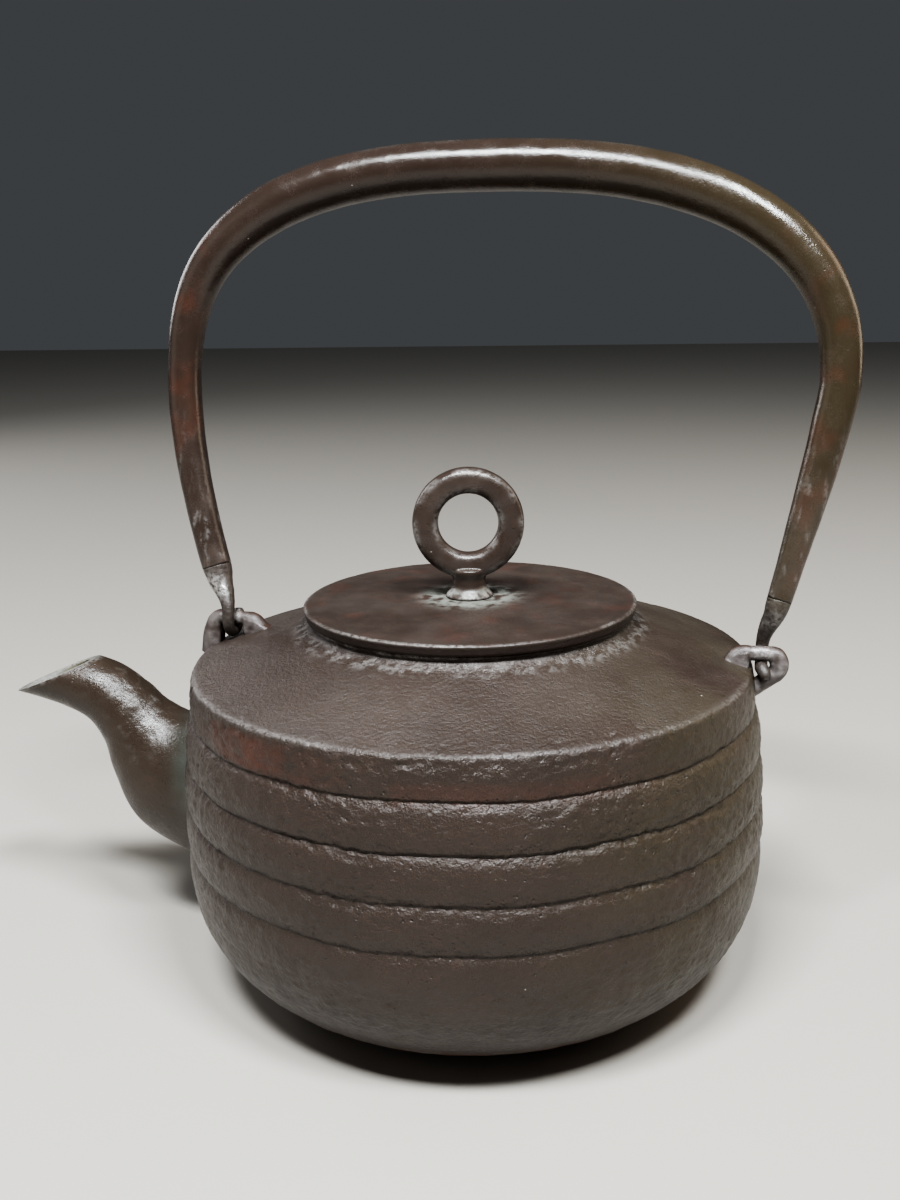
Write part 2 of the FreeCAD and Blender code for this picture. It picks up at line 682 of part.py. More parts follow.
for item in DOC.Objects:
    if "Invalid" in item.State or "Error" in item.State:
        raise RuntimeError("%s failed: %s" % (item.Label, item.State))
os.makedirs("parts", exist_ok=True)
for node in NODES:
    shape = node.Shape
    if shape.isNull() or not shape.isValid() or len(shape.Solids) != 1:
        raise RuntimeError("%s has no single valid solid" % node.Label)
for node in NODES:
    node.Shape.exportStep("parts/%s.step" % node.Label)
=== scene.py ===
"""Looks of a cast iron kettle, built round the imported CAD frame. Lengths are in millimetres until
a mesh is made, +Z is up, -X is the spout, and every piece stands where the frame has it."""

import json
import math

import bpy
import numpy as np
from mathutils import Matrix, Vector


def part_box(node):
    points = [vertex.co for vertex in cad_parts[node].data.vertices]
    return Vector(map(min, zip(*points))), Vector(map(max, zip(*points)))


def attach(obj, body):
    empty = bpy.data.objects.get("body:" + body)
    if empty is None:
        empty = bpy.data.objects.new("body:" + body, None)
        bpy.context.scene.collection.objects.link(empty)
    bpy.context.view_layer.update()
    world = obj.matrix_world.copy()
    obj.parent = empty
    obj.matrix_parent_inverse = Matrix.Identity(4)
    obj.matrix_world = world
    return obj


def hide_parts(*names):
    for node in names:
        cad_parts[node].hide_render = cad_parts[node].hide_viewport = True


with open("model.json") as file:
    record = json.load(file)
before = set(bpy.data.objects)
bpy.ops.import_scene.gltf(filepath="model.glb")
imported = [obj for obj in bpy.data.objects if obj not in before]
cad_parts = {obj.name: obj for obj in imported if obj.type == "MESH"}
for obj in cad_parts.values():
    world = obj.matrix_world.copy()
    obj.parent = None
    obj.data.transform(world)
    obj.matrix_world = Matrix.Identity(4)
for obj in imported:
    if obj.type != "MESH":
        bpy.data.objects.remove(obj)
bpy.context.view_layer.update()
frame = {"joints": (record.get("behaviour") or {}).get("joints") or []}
MM = 0.001


def box_mm(node):
    """Lowest and highest corner of a CAD node, in millimetres."""
    low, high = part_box(node)
    return np.array(low) / MM, np.array(high) / MM


RIM = box_mm("kettle_body")[1][2]
LID_TOP_RADIUS = box_mm("lid")[1][0]
LID_LOW = box_mm("lid")[0][2]
KNOB_TOP = box_mm("lid_knob")[1][2]
SWING = [joint for joint in frame["joints"] if joint["name"] == "handle_swing"][0]
HINGE = np.array(SWING["pos_m"]) / MM
HINGE_TILT = math.atan2(-SWING["axis"][2], SWING["axis"][0])


# --- numbers and noise
def smooth(value, low, high):
    """Smooth step from 0 at low to 1 at high, on a number or an array."""
    share = np.clip((np.asarray(value, float) - low) / (high - low), 0, 1)
    return share * share * (3 - 2 * share)


def full_turn(count):
    """count angles evenly round a circle."""
    return np.linspace(0, 2 * math.pi, count, endpoint=False)


def near(value, centre, width):
    """Bell from 1 at the centre down to about 0 at twice the width from it."""
    return np.exp(-((value - centre) / width)**2)


def mix(first, second, share):
    return first + (second - first) * share


class Noise:
    """Gradient noise in space, from about -1 to 1, the same on every run."""

    def __init__(self, seed):
        order = np.random.RandomState(seed)
        self.table = np.tile(order.permutation(256), 2)
        arrows = order.normal(size=(256, 3))
        self.arrows = arrows / np.linalg.norm(arrows, axis=1)[:, None]

    def __call__(self, points, size, octaves=1):
        """Noise whose features are about size across; size is a number or one per axis."""
        total = 0
        for octave in range(octaves):
            finer = 2.0**octave
            total = total + self.layer(points / np.asarray(size, float) * finer + 17.3 * octave) / finer
        return 1.5 * total

    def layer(self, points):
        cell = np.floor(points).astype(np.int64)
        inside = points - cell
        fade = inside**3 * (inside * (inside * 6 - 15) + 10)
        cell &= 255
        total = np.zeros(points.shape[:-1])
        for corner in np.ndindex(2, 2, 2):
            x, y, z = [(cell[..., axis] + corner[axis]) & 255 for axis in range(3)]
            arrow = self.arrows[self.table[self.table[self.table[x] + y] + z]]
            weight = 1.0
            for axis in range(3):
                weight = weight * (fade[..., axis] if corner[axis] else 1 - fade[..., axis])
            total += weight * ((inside - np.array(corner)) * arrow).sum(-1)
        return total


def curve_through(points, count):
    """count rows on a smooth curve through rows of numbers, evenly along the rows' own order."""
    rows = np.asarray(points, float)
    padded = np.vstack([2 * rows[0] - rows[1], rows, 2 * rows[-1] - rows[-2]])
    place = np.linspace(0, len(rows) - 1, count)
    first = np.minimum(place.astype(int), len(rows) - 2)
    t = (place - first)[:, None]
    a, b, c, d = (padded[first + shift] for shift in range(4))
    return 0.5 * (2 * b + (c - a) * t + (2 * a - 5 * b + 4 * c - d) * t**2 + (3 * b - a - 3 * c + d) * t**3)


def lengths_along(line):
    """Distance of each point of a line from its start."""
    return np.concatenate([[0], np.cumsum(np.linalg.norm(np.diff(line, axis=0), axis=1))])


def resampled(line, count):
    """The same line with count points, evenly spaced."""
    lengths = lengths_along(line)
    places = np.linspace(0, lengths[-1], count)
    return np.column_stack([np.interp(places, lengths, column) for column in line.T])


def even_steps(line, step):
    """The same line with points about step apart."""
    line = np.asarray(line, float)
    return resampled(line, max(2, int(round(lengths_along(line)[-1] / step)) + 1))


def rounded(corners):
    """Line through (across, up, radius) corners, each corner rounded with its own radius."""
    points = [np.array(corner[:2], float) for corner in corners]
    line = [points[0]]
    for i in range(1, len(points) - 1):
        back = points[i - 1] - points[i]
        ahead = points[i + 1] - points[i]
        reach = min(np.linalg.norm(back), np.linalg.norm(ahead)) * 0.48
        back, ahead = back / np.linalg.norm(back), ahead / np.linalg.norm(ahead)
        half = math.acos(max(-1, min(1, float(back @ ahead)))) / 2
        cut = min(corners[i][2] / max(math.tan(half), 1e-6), reach)
        begin, finish = points[i] + back * cut, points[i] + ahead * cut
        for t in np.linspace(0, 1, 9):
            line.append((1 - t)**2 * begin + 2 * t * (1 - t) * points[i] + t**2 * finish)
    line.append(points[-1])
    return np.array(line)


# --- meshes
def signed_volume(mesh, points):
    """Volume of a closed mesh: negative when its faces look inwards."""
    mesh.calc_loop_triangles()
    corners = np.empty(len(mesh.loop_triangles) * 3, np.int32)
    mesh.loop_triangles.foreach_get("vertices", corners)
    a, b, c = (points[corners[shift::3]] for shift in range(3))
    return float((a * np.cross(b, c)).sum())


def in_scene(name, data):
    """New object that shows some data in the scene."""
    holder = bpy.data.objects.new(name, data)
    bpy.context.scene.collection.objects.link(holder)
    return holder


def mesh_object(name, points, faces, closed=True):
    """Smooth-shaded mesh from places in millimetres; a closed one is made to face outwards."""
    mesh = bpy.data.meshes.new(name)
    mesh.from_pydata((np.asarray(points) * MM).tolist(), [], faces)
    mesh.polygons.foreach_set("use_smooth", np.ones(len(mesh.polygons), bool))
    mesh.update()
    if closed and signed_volume(mesh, np.asarray(points)) < 0:
        mesh.flip_normals()
    return in_scene(name, mesh)


def grid_faces(rows, columns, closed_rows=False):
    """Quads over a grid of rows that each close on themselves."""
    row = np.arange(rows if closed_rows else rows - 1)[:, None]
    column = np.arange(columns)[None, :]
    after = (column + 1) % columns
    below = (row + 1) % rows
    quads = np.stack([row * columns + column, row * columns + after, below * columns + after,
                      below * columns + column], axis=-1)
    return quads.reshape(-1, 4).tolist()


def spun(outline, segments):
    """One ring round the kettle's axis for each (radius, height) of an outline."""
    turn = full_turn(segments)
    return np.stack([outline[:, :1] * np.cos(turn), outline[:, :1] * np.sin(turn),
                     np.repeat(outline[:, 1:], segments, axis=1)], axis=-1)


def turned(name, profile, segments):
    """Solid of revolution from a (radius, height) line whose two ends lie on the axis."""
    rings = spun(profile[1:-1], segments)
    points = rings.reshape(-1, 3)
    faces = grid_faces(len(rings), segments)
    first, last = len(points), len(points) + 1
    points = np.vstack([points, [[0, 0, profile[0, 1]], [0, 0, profile[-1, 1]]]])
    end = (len(rings) - 1) * segments
    for i in range(segments):
        after = (i + 1) % segments
        faces.append([first, after, i])
        faces.append([last, end + i, end + after])
    return mesh_object(name, points, faces)


def squared(cosine, sine, power):
    """Reach of a section in one direction, over its radius: power 2 is round, more is squarer."""
    return (np.abs(cosine)**power + np.abs(sine)**power) ** (-1 / power)


def tube_points(line, radii, segments, up, power=2.0, twist=0.0):
    """Rings round a centre line, with one radius for each point or two."""
    line = np.asarray(line, float)
    way = np.gradient(line, axis=0)
    way /= np.linalg.norm(way, axis=1)[:, None]
    side = np.cross(way, up)
    side /= np.linalg.norm(side, axis=1)[:, None]
    other = np.cross(way, side)
    turn = full_turn(segments)[None, :] + twist
    c, s = np.cos(turn), np.sin(turn)
    power = np.broadcast_to(np.asarray(power, float), (len(line),))[:, None]
    size = squared(c, s, power)
    radii = np.asarray(radii, float)
    if radii.ndim == 1:
        radii = np.stack([radii, radii], axis=1)
    across = (radii[:, :1] * size * c)[..., None] * side[:, None, :]
    along = (radii[:, 1:] * size * s)[..., None] * other[:, None, :]
    return line[:, None, :] + across + along


def capped(name, rings):
    """Closed mesh from rings, with its two ends filled."""
    rows, columns = rings.shape[:2]
    points = rings.reshape(-1, 3)
    faces = grid_faces(rows, columns)
    faces.append(list(range(columns))[::-1])
    faces.append([(rows - 1) * columns + i for i in range(columns)])
    return mesh_object(name, points, faces)


def looped(name, rings):
    """Closed mesh from rings whose last one joins the first."""
    return mesh_object(name, rings.reshape(-1, 3), grid_faces(len(rings), rings.shape[1], True))


def apply_modifiers(piece):
    graph = bpy.context.evaluated_depsgraph_get()
    mesh = bpy.data.meshes.new_from_object(piece.evaluated_get(graph))
    piece.modifiers.clear()
    piece.data = mesh


def melt(name, parts, voxel, rounds):
    """One cast-looking piece from overlapping closed parts: joined, remeshed fine and smoothed."""
    bpy.ops.object.select_all(action="DESELECT")
    for part in parts:
        part.select_set(True)
    bpy.context.view_layer.objects.active = parts[0]
    bpy.ops.object.join()
    piece = parts[0]
    piece.name = name
    piece.data.name = name
    remesh = piece.modifiers.new("remesh", "REMESH")
    remesh.mode = "VOXEL"
    remesh.voxel_size = voxel * MM
    remesh.use_smooth_shade = True
    soften = piece.modifiers.new("soften", "SMOOTH")
    soften.factor = 0.5
    soften.iterations = rounds
    apply_modifiers(piece)
    piece.data.polygons.foreach_set("use_smooth", np.ones(len(piece.data.polygons), bool))
    return piece


def vertices(piece):
    """Vertex places in millimetres and vertex normals."""
    mesh = piece.data
    places = np.empty(len(mesh.vertices) * 3, np.float32)
    mesh.vertices.foreach_get("co", places)
    normals = np.empty(len(mesh.vertices) * 3, np.float32)
    mesh.vertex_normals.foreach_get("vector", normals)
    return places.reshape(-1, 3).astype(float) / MM, normals.reshape(-1, 3).astype(float)


def push(piece, offsets):
    """Move each vertex along its normal by its own offset in millimetres."""
    places, normals = vertices(piece)
    moved = (places + normals * offsets[:, None]) * MM
    piece.data.vertices.foreach_set("co", moved.astype(np.float32).ravel())
    piece.data.update()


def shift(piece, ways):
    """Move each vertex by its own vector in millimetres."""
    places = vertices(piece)[0]
    piece.data.vertices.foreach_set("co", ((places + ways) * MM).astype(np.float32).ravel())
    piece.data.update()


def coat(colour, piece):
    """One colour for every vertex of a piece."""
    return np.tile(colour, (len(piece.data.vertices), 1))


def tint(colour, other, share):
    """Colours drawn towards another colour, each vertex by its own share."""
    return mix(colour, other, np.asarray(share)[:, None])


def paint(piece, colour, wear_and_highlight, dull):
    """Store each vertex's colour (patina, with painted light on some faces), its wear with painted highlights
    (0 to 1) and extra roughness for the material.
    """
    count = len(piece.data.vertices)
    rgba = np.ones((count, 4), np.float32)
    rgba[:, :3] = colour
    patina_and_painted_light = piece.data.attributes.new("patina_and_painted_light", "FLOAT_COLOR", "POINT")
    patina_and_painted_light.data.foreach_set("color", rgba.ravel())
    for name, values in (("wear_and_highlight", wear_and_highlight), ("dull", dull)):
        layer = piece.data.attributes.new(name, "FLOAT", "POINT")
        layer.data.foreach_set("value", np.broadcast_to(values, (count,)).astype(np.float32))


def stands_for(piece, node, body, material):
    """Give a piece its material and let it stand for a CAD node on a moving body."""
    piece.data.materials.clear()
    piece.data.materials.append(material)
    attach(piece, body)
    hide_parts(node)


# --- iron
BROWN = np.array([0.034, 0.023, 0.018])
OLIVE = np.array([0.035, 0.027, 0.015])
RUST = np.array([0.080, 0.026, 0.015])
DARKEST_BROWN = np.array([0.020, 0.015, 0.012])
ASH = np.array([0.080, 0.066, 0.058])
MOSS = np.array([0.075, 0.088, 0.076])
LIME = np.array([0.13, 0.13, 0.115])
YELLOW_LIME = np.array([0.17, 0.15, 0.07])
# Pinkish grey painted as light on the lugs' front faces.
PAINTED_LIGHT_PINK_GREY = np.array([0.135, 0.120, 0.118])
SCALE = np.array([0.19, 0.20, 0.175])
THIN_SCALE = np.array([0.15, 0.16, 0.14])
RUST_BLOOM = (0.095, 0.045, 0.028)
PIT_DARK = (0.022, 0.018, 0.016)
GRAIN_PALE = (0.150, 0.135, 0.125)
# Bare iron colour for wear, also used as a painted highlight.
BARE_IRON_AND_HIGHLIGHT = (0.36, 0.345, 0.33)
DUST = (0.62, 0.60, 0.56)
STROKE_SPREAD = 0.02


class Nodes:
    """Short ways to add shader nodes; sockets take a number, a colour or another node's output."""

    def __init__(self, tree):
        self.tree = tree

    def put(self, slot, value):
        if isinstance(value, (int, float)):
            slot.default_value = value
        elif isinstance(value, tuple):
            slot.default_value = (*value, 1)
        else:
            self.tree.links.new(value, slot)

    def add(self, kind, sockets=(), **settings):
        node = self.tree.nodes.new("ShaderNode" + kind)
        for name, value in settings.items():
            setattr(node, name, value)
        for slot, value in dict(sockets).items():
            self.put(node.inputs[slot], value)
        return node

    def maths(self, operation, first, second=0.0, clamp=False):
        return self.add("Math", {0: first, 1: second}, operation=operation, use_clamp=clamp).outputs[0]

    def plus(self, first, second):
        return self.maths("ADD", first, second)

    def times(self, first, second):
        return self.maths("MULTIPLY", first, second)

    def ramp(self, value, low, high, bottom=0.0, top=1.0):
        sockets = {"Value": value, "From Min": low, "From Max": high, "To Min": bottom, "To Max": top}
        return self.add("MapRange", sockets, interpolation_type="SMOOTHSTEP").outputs["Result"]

    def mixed(self, first, second, share, blend="MIX"):
        return self.add("Mix", {0: share, 6: first, 7: second}, data_type="RGBA", blend_type=blend).outputs[2]

    def turning(self, place):
        """Coordinates that run round the kettle's axis: angle, radius and height, seam at the back."""
        x, y, z = self.add("SeparateXYZ", {0: place}).outputs
        angle = self.maths("ARCTAN2", x, self.times(y, -1.0))
        radius = self.maths("SQRT", self.plus(self.times(x, x), self.times(y, y)))
        return self.add("CombineXYZ", {0: self.times(angle, STROKE_SPREAD), 1: radius, 2: z}).outputs[0]


def iron(name, grain, pits, brush, rough, specks=1.0, turned_marks=False):
    """Patinated iron. grain, pits and brush scale the bump of the cast skin, of its small holes and of
    brush marks, which may run round the kettle; paint() stored the colour with some painted light, the
    wear with painted highlights, and the dullness."""
    material = bpy.data.materials.new(name)
    material.use_nodes = True
    nodes = Nodes(material.node_tree)
    place = nodes.add("TexCoord").outputs["Object"]
    patina_and_painted_light = nodes.add("Attribute", attribute_name="patina_and_painted_light").outputs["Color"]
    wear_and_highlight, dull = (nodes.add("Attribute", attribute_name=layer).outputs["Fac"] for layer in ("wear_and_highlight", "dull"))

    def noise(scale, detail, roughness, source=place):
        sockets = {"Vector": source, "Scale": scale, "Detail": detail, "Roughness": roughness}
        return nodes.add("TexNoise", sockets).outputs["Fac"]

    def cells(scale):
        return nodes.add("TexVoronoi", {"Vector": place, "Scale": scale, "Randomness": 1.0}).outputs

    clouds = noise(45, 5, 0.62)
    blotches = noise(170, 4, 0.6)
    skin = noise(900, 4, 0.62)
    fine = noise(3200, 3, 0.6)
    strokes = noise(2600, 3, 0.55, nodes.turning(place) if turned_marks else place)
    pit = nodes.ramp(cells(800)["Distance"], 0.10, 0.34, 1, 0)
    holes = nodes.times(pit, nodes.ramp(blotches, 0.50, 0.62))
    dust = cells(330)
    few = nodes.ramp(nodes.add("SeparateColor", {0: dust["Color"]}).outputs[0], 0.972, 0.985)
    speck = nodes.times(nodes.ramp(dust["Distance"], 0.035, 0.075, 1, 0), few)

    colour = nodes.mixed(patina_and_painted_light, nodes.mixed((0.70, 0.69, 0.68), (1.30, 1.29, 1.27), clouds), 1, "MULTIPLY")
    colour = nodes.mixed(colour, RUST_BLOOM, nodes.ramp(blotches, 0.56, 0.85, 0, 0.18))
    colour = nodes.mixed(colour, PIT_DARK, nodes.times(holes, 0.55 * pits))
    colour = nodes.mixed(colour, GRAIN_PALE, nodes.ramp(fine, 0.56, 0.86, 0, 0.16))
    # The wear channel also carries painted highlights; both turn the colour towards lighter bare iron.
    worn_and_highlight = nodes.maths("MULTIPLY", wear_and_highlight, nodes.ramp(skin, 0.34, 0.60), clamp=True)
    colour = nodes.mixed(colour, BARE_IRON_AND_HIGHLIGHT, worn_and_highlight)
    colour = nodes.mixed(colour, DUST, nodes.times(speck, 0.8 * specks))

    satin = nodes.ramp(blotches, 0.3, 0.7, rough - 0.05, rough + 0.09)
    satin = nodes.plus(nodes.plus(satin, nodes.ramp(fine, 0.3, 0.7, -0.03, 0.05)), dull)
    satin = nodes.maths("SUBTRACT", satin, nodes.times(worn_and_highlight, 0.06), clamp=True)

    height = nodes.plus(nodes.times(skin, 0.26 * grain), nodes.times(fine, 0.050 * (0.5 + grain)))
    height = nodes.plus(height, nodes.times(strokes, 0.090 * brush))
    height = nodes.maths("SUBTRACT", height, nodes.times(holes, 0.10 * pits))
    bump = nodes.add("Bump", {"Height": height, "Distance": MM, "Strength": 1.0}).outputs[0]
    surface = material.node_tree.nodes["Principled BSDF"].inputs
    metal = nodes.times(worn_and_highlight, 0.65)
    for slot, value in (("Base Color", colour), ("Roughness", satin), ("Metallic", metal), ("Normal", bump)):
        nodes.put(surface[slot], value)
    return material


# --- kettle body
RIB_PITCH = 12.2
LOWEST_CREASE = 30.0
RIB_LEDGES = (0.45, 0.65, 0.75, 0.75)
RIB_TAILS = (0.35, 0.70, 0.75, 0.75)
CREASES = [LOWEST_CREASE + RIB_PITCH * number for number in range(len(RIB_LEDGES) + 1)]
BELLY_RADIUS, BELLY_HEIGHT, BARREL_RADIUS = 80.3, 46.0, 214.0
EDGE_RADIUS, EDGE_HEIGHT = 75.9, 89.4
SHOULDER_TOP = (48.0, 98.36)
FOOT_RADIUS, FOOT_HOLLOW = 41.5, 0.5
BOWL_HEIGHT = 34.0
NECK_RADIUS, NECK_FOOT = 43.4, 101.3
MOUTH_RADIUS, THROAT_TOP = 39.5, 100.5
WALL = 3.5


def barrel(height):
    """Largest radius of the wall at a height, over the tops of the ribs."""
    return BELLY_RADIUS - (height - BELLY_HEIGHT)**2 / (2 * BARREL_RADIUS)


def rib(height, top, bottom, ledge, tail):
    """Radius on one rib: a rounded ledge out from the crease above, a face that swells on and draws in."""
    share = (top - height) / (top - bottom)
    recess = ledge * np.clip(1 - share / 0.24, 0, 1)**1.7 + 0.60 * np.clip(1 - share / 0.60, 0, 1)**2
    return barrel(height) - recess - tail * np.clip((share - 0.55) / 0.45, 0, 1)**2


def outer_line():
    """Half section of the outside, from the foot's middle up to the rim."""
    line = [np.array([[0, FOOT_HOLLOW], [30, FOOT_HOLLOW]]),
            rounded([(34, FOOT_HOLLOW, 0), (38, 0, 1.5), (FOOT_RADIUS, 0, 0)])]
    turn = np.linspace(0, math.pi / 2, 60)[:-7]
    reach = barrel(BOWL_HEIGHT) - 0.25 - FOOT_RADIUS
    bowl = np.column_stack([FOOT_RADIUS + reach * np.sin(turn), BOWL_HEIGHT * (1 - np.cos(turn))])[1:]
    line.append(bowl[bowl[:, 1] < LOWEST_CREASE])
    for bottom, top, ledge, tail in zip(CREASES, CREASES[1:], RIB_LEDGES, RIB_TAILS):
        heights = np.linspace(bottom + 0.02, top - 0.02, 60)
        line.append(np.column_stack([rib(heights, top, bottom, ledge, tail), heights]))
    line.append(rounded([
        (barrel(CREASES[-1]) - 0.75, CREASES[-1] + 0.1, 0), (EDGE_RADIUS + 1.05, 84.0, 12.0),
        (EDGE_RADIUS + 0.25, EDGE_HEIGHT - 0.05, 1.9), (*SHOULDER_TOP, 0)]))
    t = np.linspace(0, 1, 14)[1:, None]
    neck_corner, neck_foot = np.array([43.7, 99.75]), np.array([NECK_RADIUS, NECK_FOOT])
    line.append((1 - t)**2 * np.array(SHOULDER_TOP) + 2 * t * (1 - t) * neck_corner + t**2 * neck_foot)
    bead = NECK_RADIUS + 0.75
    line.append(rounded([(NECK_RADIUS, NECK_FOOT + 0.05, 0), (bead, NECK_FOOT + 0.3, 0.3), (bead, RIM, 0.5),
                         (MOUTH_RADIUS, RIM, 0.8), (MOUTH_RADIUS, THROAT_TOP, 0)]))
    return np.vstack(line)


OUTER = outer_line()
WALL_SIDE = OUTER[(OUTER[:, 1] > 12) & (OUTER[:, 1] < EDGE_HEIGHT - 1) & (OUTER[:, 0] > 70)]


def wall_radius(height):
    """Outside radius of the wall between the bowl and the shoulder."""
    return np.interp(height, WALL_SIDE[:, 1], WALL_SIDE[:, 0])


def inner_line():
    """Half section of the hollow, from the mouth down to the floor's middle."""
    return rounded([(MOUTH_RADIUS, THROAT_TOP, 0), (MOUTH_RADIUS, 98.9, 1.5), (45.0, 95.2, 2),
                    (69.5, 87.6, 2), (72.7, 84.5, 2), (75.6, 52.0, 60), (75.6, 30.0, 20), (68.0, 12.0, 16),
                    (52.0, 3.9, 14), (FOOT_RADIUS - 2, WALL, 3), (0, WALL, 0)])


def turned_shell():
    """The body's casting in one turned skin, with the hole for the spout's spigot."""
    outside = even_steps(OUTER, 0.62)
    inside = even_steps(inner_line(), 2.5)
    piece = turned("kettle_body_cast", np.vstack([outside, inside[1:]]), 780)
    sides = 96
    turn = full_turn(sides)
    drill = capped("drill", np.stack([
        np.column_stack([np.full(sides, reach), SPIGOT_RADIUS * np.cos(turn),
                         SPIGOT_HEIGHT + SPIGOT_RADIUS * np.sin(turn)]) for reach in (-95.0, -60.0)]))
    hole = piece.modifiers.new("spigot hole", "BOOLEAN")
    hole.solver = "MANIFOLD"
    hole.operation = "DIFFERENCE"
    hole.object = drill
    apply_modifiers(piece)
    bpy.data.objects.remove(drill)
    return piece


def make_body():
    piece = turned_shell()
    places = vertices(piece)[0]
    radius = np.hypot(places[:, 0], places[:, 1])
    height = places[:, 2]
    inner = (radius < wall_radius(height) - 2.0) & (height < RIM - 2.5) & (height > 1.0)
    inner &= height < EDGE_HEIGHT - 1.6 - 0.32 * (radius - EDGE_RADIUS)
    inner |= radius < MOUTH_RADIUS + 0.3
    inner &= ~((height < 1.0) & (radius < FOOT_RADIUS))
    shell = ~inner

    # The cast skin: broad waves, orange peel with pits and lumps on the side, a calmer shoulder.
    side = smooth(height, 2, 20) * (1 - smooth(height, 88.3, 89.3)) * shell
    waves = Noise(3)(places, (30, 30, 22), 2)
    flat = places * [1, 1, 1.7]
    peel = Noise(5)(flat, 2.6, 2)
    dents = smooth(Noise(7)(flat, 1.7), 0.20, 0.75)
    lumps = smooth(Noise(8)(flat, 5.5), 0.25, 0.9)
    strength = side * (0.45 + 0.55 * smooth(Noise(9)(places, 38), -0.5, 0.5))
    strength = strength * mix(0.55, 1.0, smooth(height, 35, 60))
    offsets = 0.16 * waves * shell * smooth(height, 1, 12)
    offsets += strength * (0.38 * peel - 0.26 * dents + 0.26 * lumps)
    top = smooth(height, 88.8, 89.6) * shell
    offsets += top * 0.03 * (peel + lumps)
    near_edge = smooth(height, 84.5, 87.5) * (1 - smooth(height, 90.0, 91.5))
    offsets -= 0.30 * smooth(Noise(23)(places, 6.0, 3), 0.30, 0.60) * near_edge * shell
    offsets += inner * (0.12 * Noise(11)(places, 4.0, 3))
    push(piece, offsets)
    on_ribs = smooth(height, 25, 32) * (1 - smooth(height, 84, 89)) * shell
    shift(piece, np.outer(0.8 * Noise(25)(places, (32, 32, 60)) * on_ribs, [0.0, 0.0, 1.0]))

    # The colour: olive to the right, greyer on top, red on the top rib's left, darker towards the bottom.
    patches = Noise(13)(places, 30, 3)
    colour = coat(BROWN, piece)
    colour = tint(colour, OLIVE, smooth(places[:, 0], 15, 70) * 0.8 * smooth(patches, -0.9, 0.4))
    colour = tint(colour, ASH, 0.24 * top * smooth(patches, -0.7, 0.6))
    angle = np.degrees(np.arctan2(places[:, 1], places[:, 0]))
    red = near(angle, -123, 14) * smooth(height, 78.5, 81) * (1 - smooth(height, 86.5, 88.5))
    red += 0.35 * near(angle, -75, 30) * smooth(height, 76.0, 79.5) * (1 - smooth(height, 81, 84))
    colour = tint(colour, RUST, np.clip(0.75 * red * smooth(Noise(15)(places, 9, 2), -0.7, 0.3), 0, 1))
    # Darker towards the bottom of the bowl.
    colour = tint(colour, DARKEST_BROWN, 0.35 * (1 - smooth(height, 4, 34)) * shell)
    colour = tint(colour, tint(RUST, ASH, smooth(Noise(17)(places, 8, 3), -0.4, 0.5)), 0.6 * inner)
    by_spout = near(places[:, 0], -80, 9) * near(places[:, 1], 0, 22) * near(height, 48, 30) * shell
    colour = tint(colour, MOSS, 0.35 * by_spout * smooth(Noise(19)(places, 6, 2), -0.2, 0.6))

    # Wear: a rubbed shoulder edge, a bright rim on the spout's side, and a painted highlight round the neck,
    # lighter bare iron on a ring that is also glossier.
    lip = smooth(height, 100.9, 101.7) * shell * smooth(-places[:, 0] - 0.4 * places[:, 1], -10, 35)
    edge = near(radius, EDGE_RADIUS, 0.9) * smooth(height, 88.4, 89.0)
    wear_and_highlight = 0.75 * lip * smooth(Noise(21)(places, 4, 2), -0.6, 0.2) + 0.30 * edge * smooth(waves, -0.6, 0.6)
    # Painted highlight: the ring under the lid turns lighter bare iron through the wear channel and gets less
    # roughness.
    neck = near(radius, 46.2, 2.6) * smooth(height, 97.5, 98.6) * shell
    wear_and_highlight = np.clip(wear_and_highlight + 0.30 * neck * smooth(peel, -0.3, 0.3), 0, 1)
    dull = 0.14 * inner + 0.10 * (1 - smooth(height, 5, 40)) * shell + 0.10 * top - 0.16 * neck
    paint(piece, colour, wear_and_highlight, dull)
    stands_for(piece, "kettle_body", "kettle",
               iron("body_iron", grain=1.6, pits=1.4, brush=0.5, rough=0.31, turned_marks=True))


# --- spout
# Along the spout: reach, height, climb in degrees, half height and half width of the section.
SPOUT_STATIONS = np.array([
    (72.0, 50.0, 6.0, 29.0, 19.5), (82.0, 47.8, 14.0, 23.6, 17.0), (93.5, 50.5, 30.0, 18.8, 14.8),
    (101.3, 59.5, 38.0, 13.4, 12.0), (105.6, 66.6, 33.0, 10.9, 10.6), (112.0, 72.7, 25.0, 9.5, 9.6),
    (120.5, 76.0, 17.0, 8.7, 8.8), (131.5, 78.6, 12.0, 8.3, 8.2), (146.0, 81.4, 10.0, 8.1, 7.8)])
SPIGOT_HEIGHT = 45.0
SPIGOT_RADIUS = 11.5
SPIGOT_PLAY = 0.05
ROUND_BORE = (8.7, 8.7)
BORE_START = 75.3
SPIGOT_REACH = (-BORE_START, -76.8, -78.3)
LIP_TIP = (-140.5, 72.5)
LIP_SLOPE = math.radians(22.6)
LIP_ROUND = 0.45
LIP_CREST = 0.62


def spout_skin(stations, insets, count, segments):
    """Rings of the spout's outside, or of its channel when inset."""
    rows = curve_through(np.column_stack([stations, insets]), count)
    turn = full_turn(segments)
    reach, height, climb, half_height, half_width, inset = rows.T[:, :, None]
    climb = np.radians(climb)
    up = (half_height - inset) * np.cos(turn)
    sideways = (half_width - inset) * np.sin(turn)
    return np.stack([-reach + np.sin(climb) * up, sideways, height + np.cos(climb) * up], axis=-1)


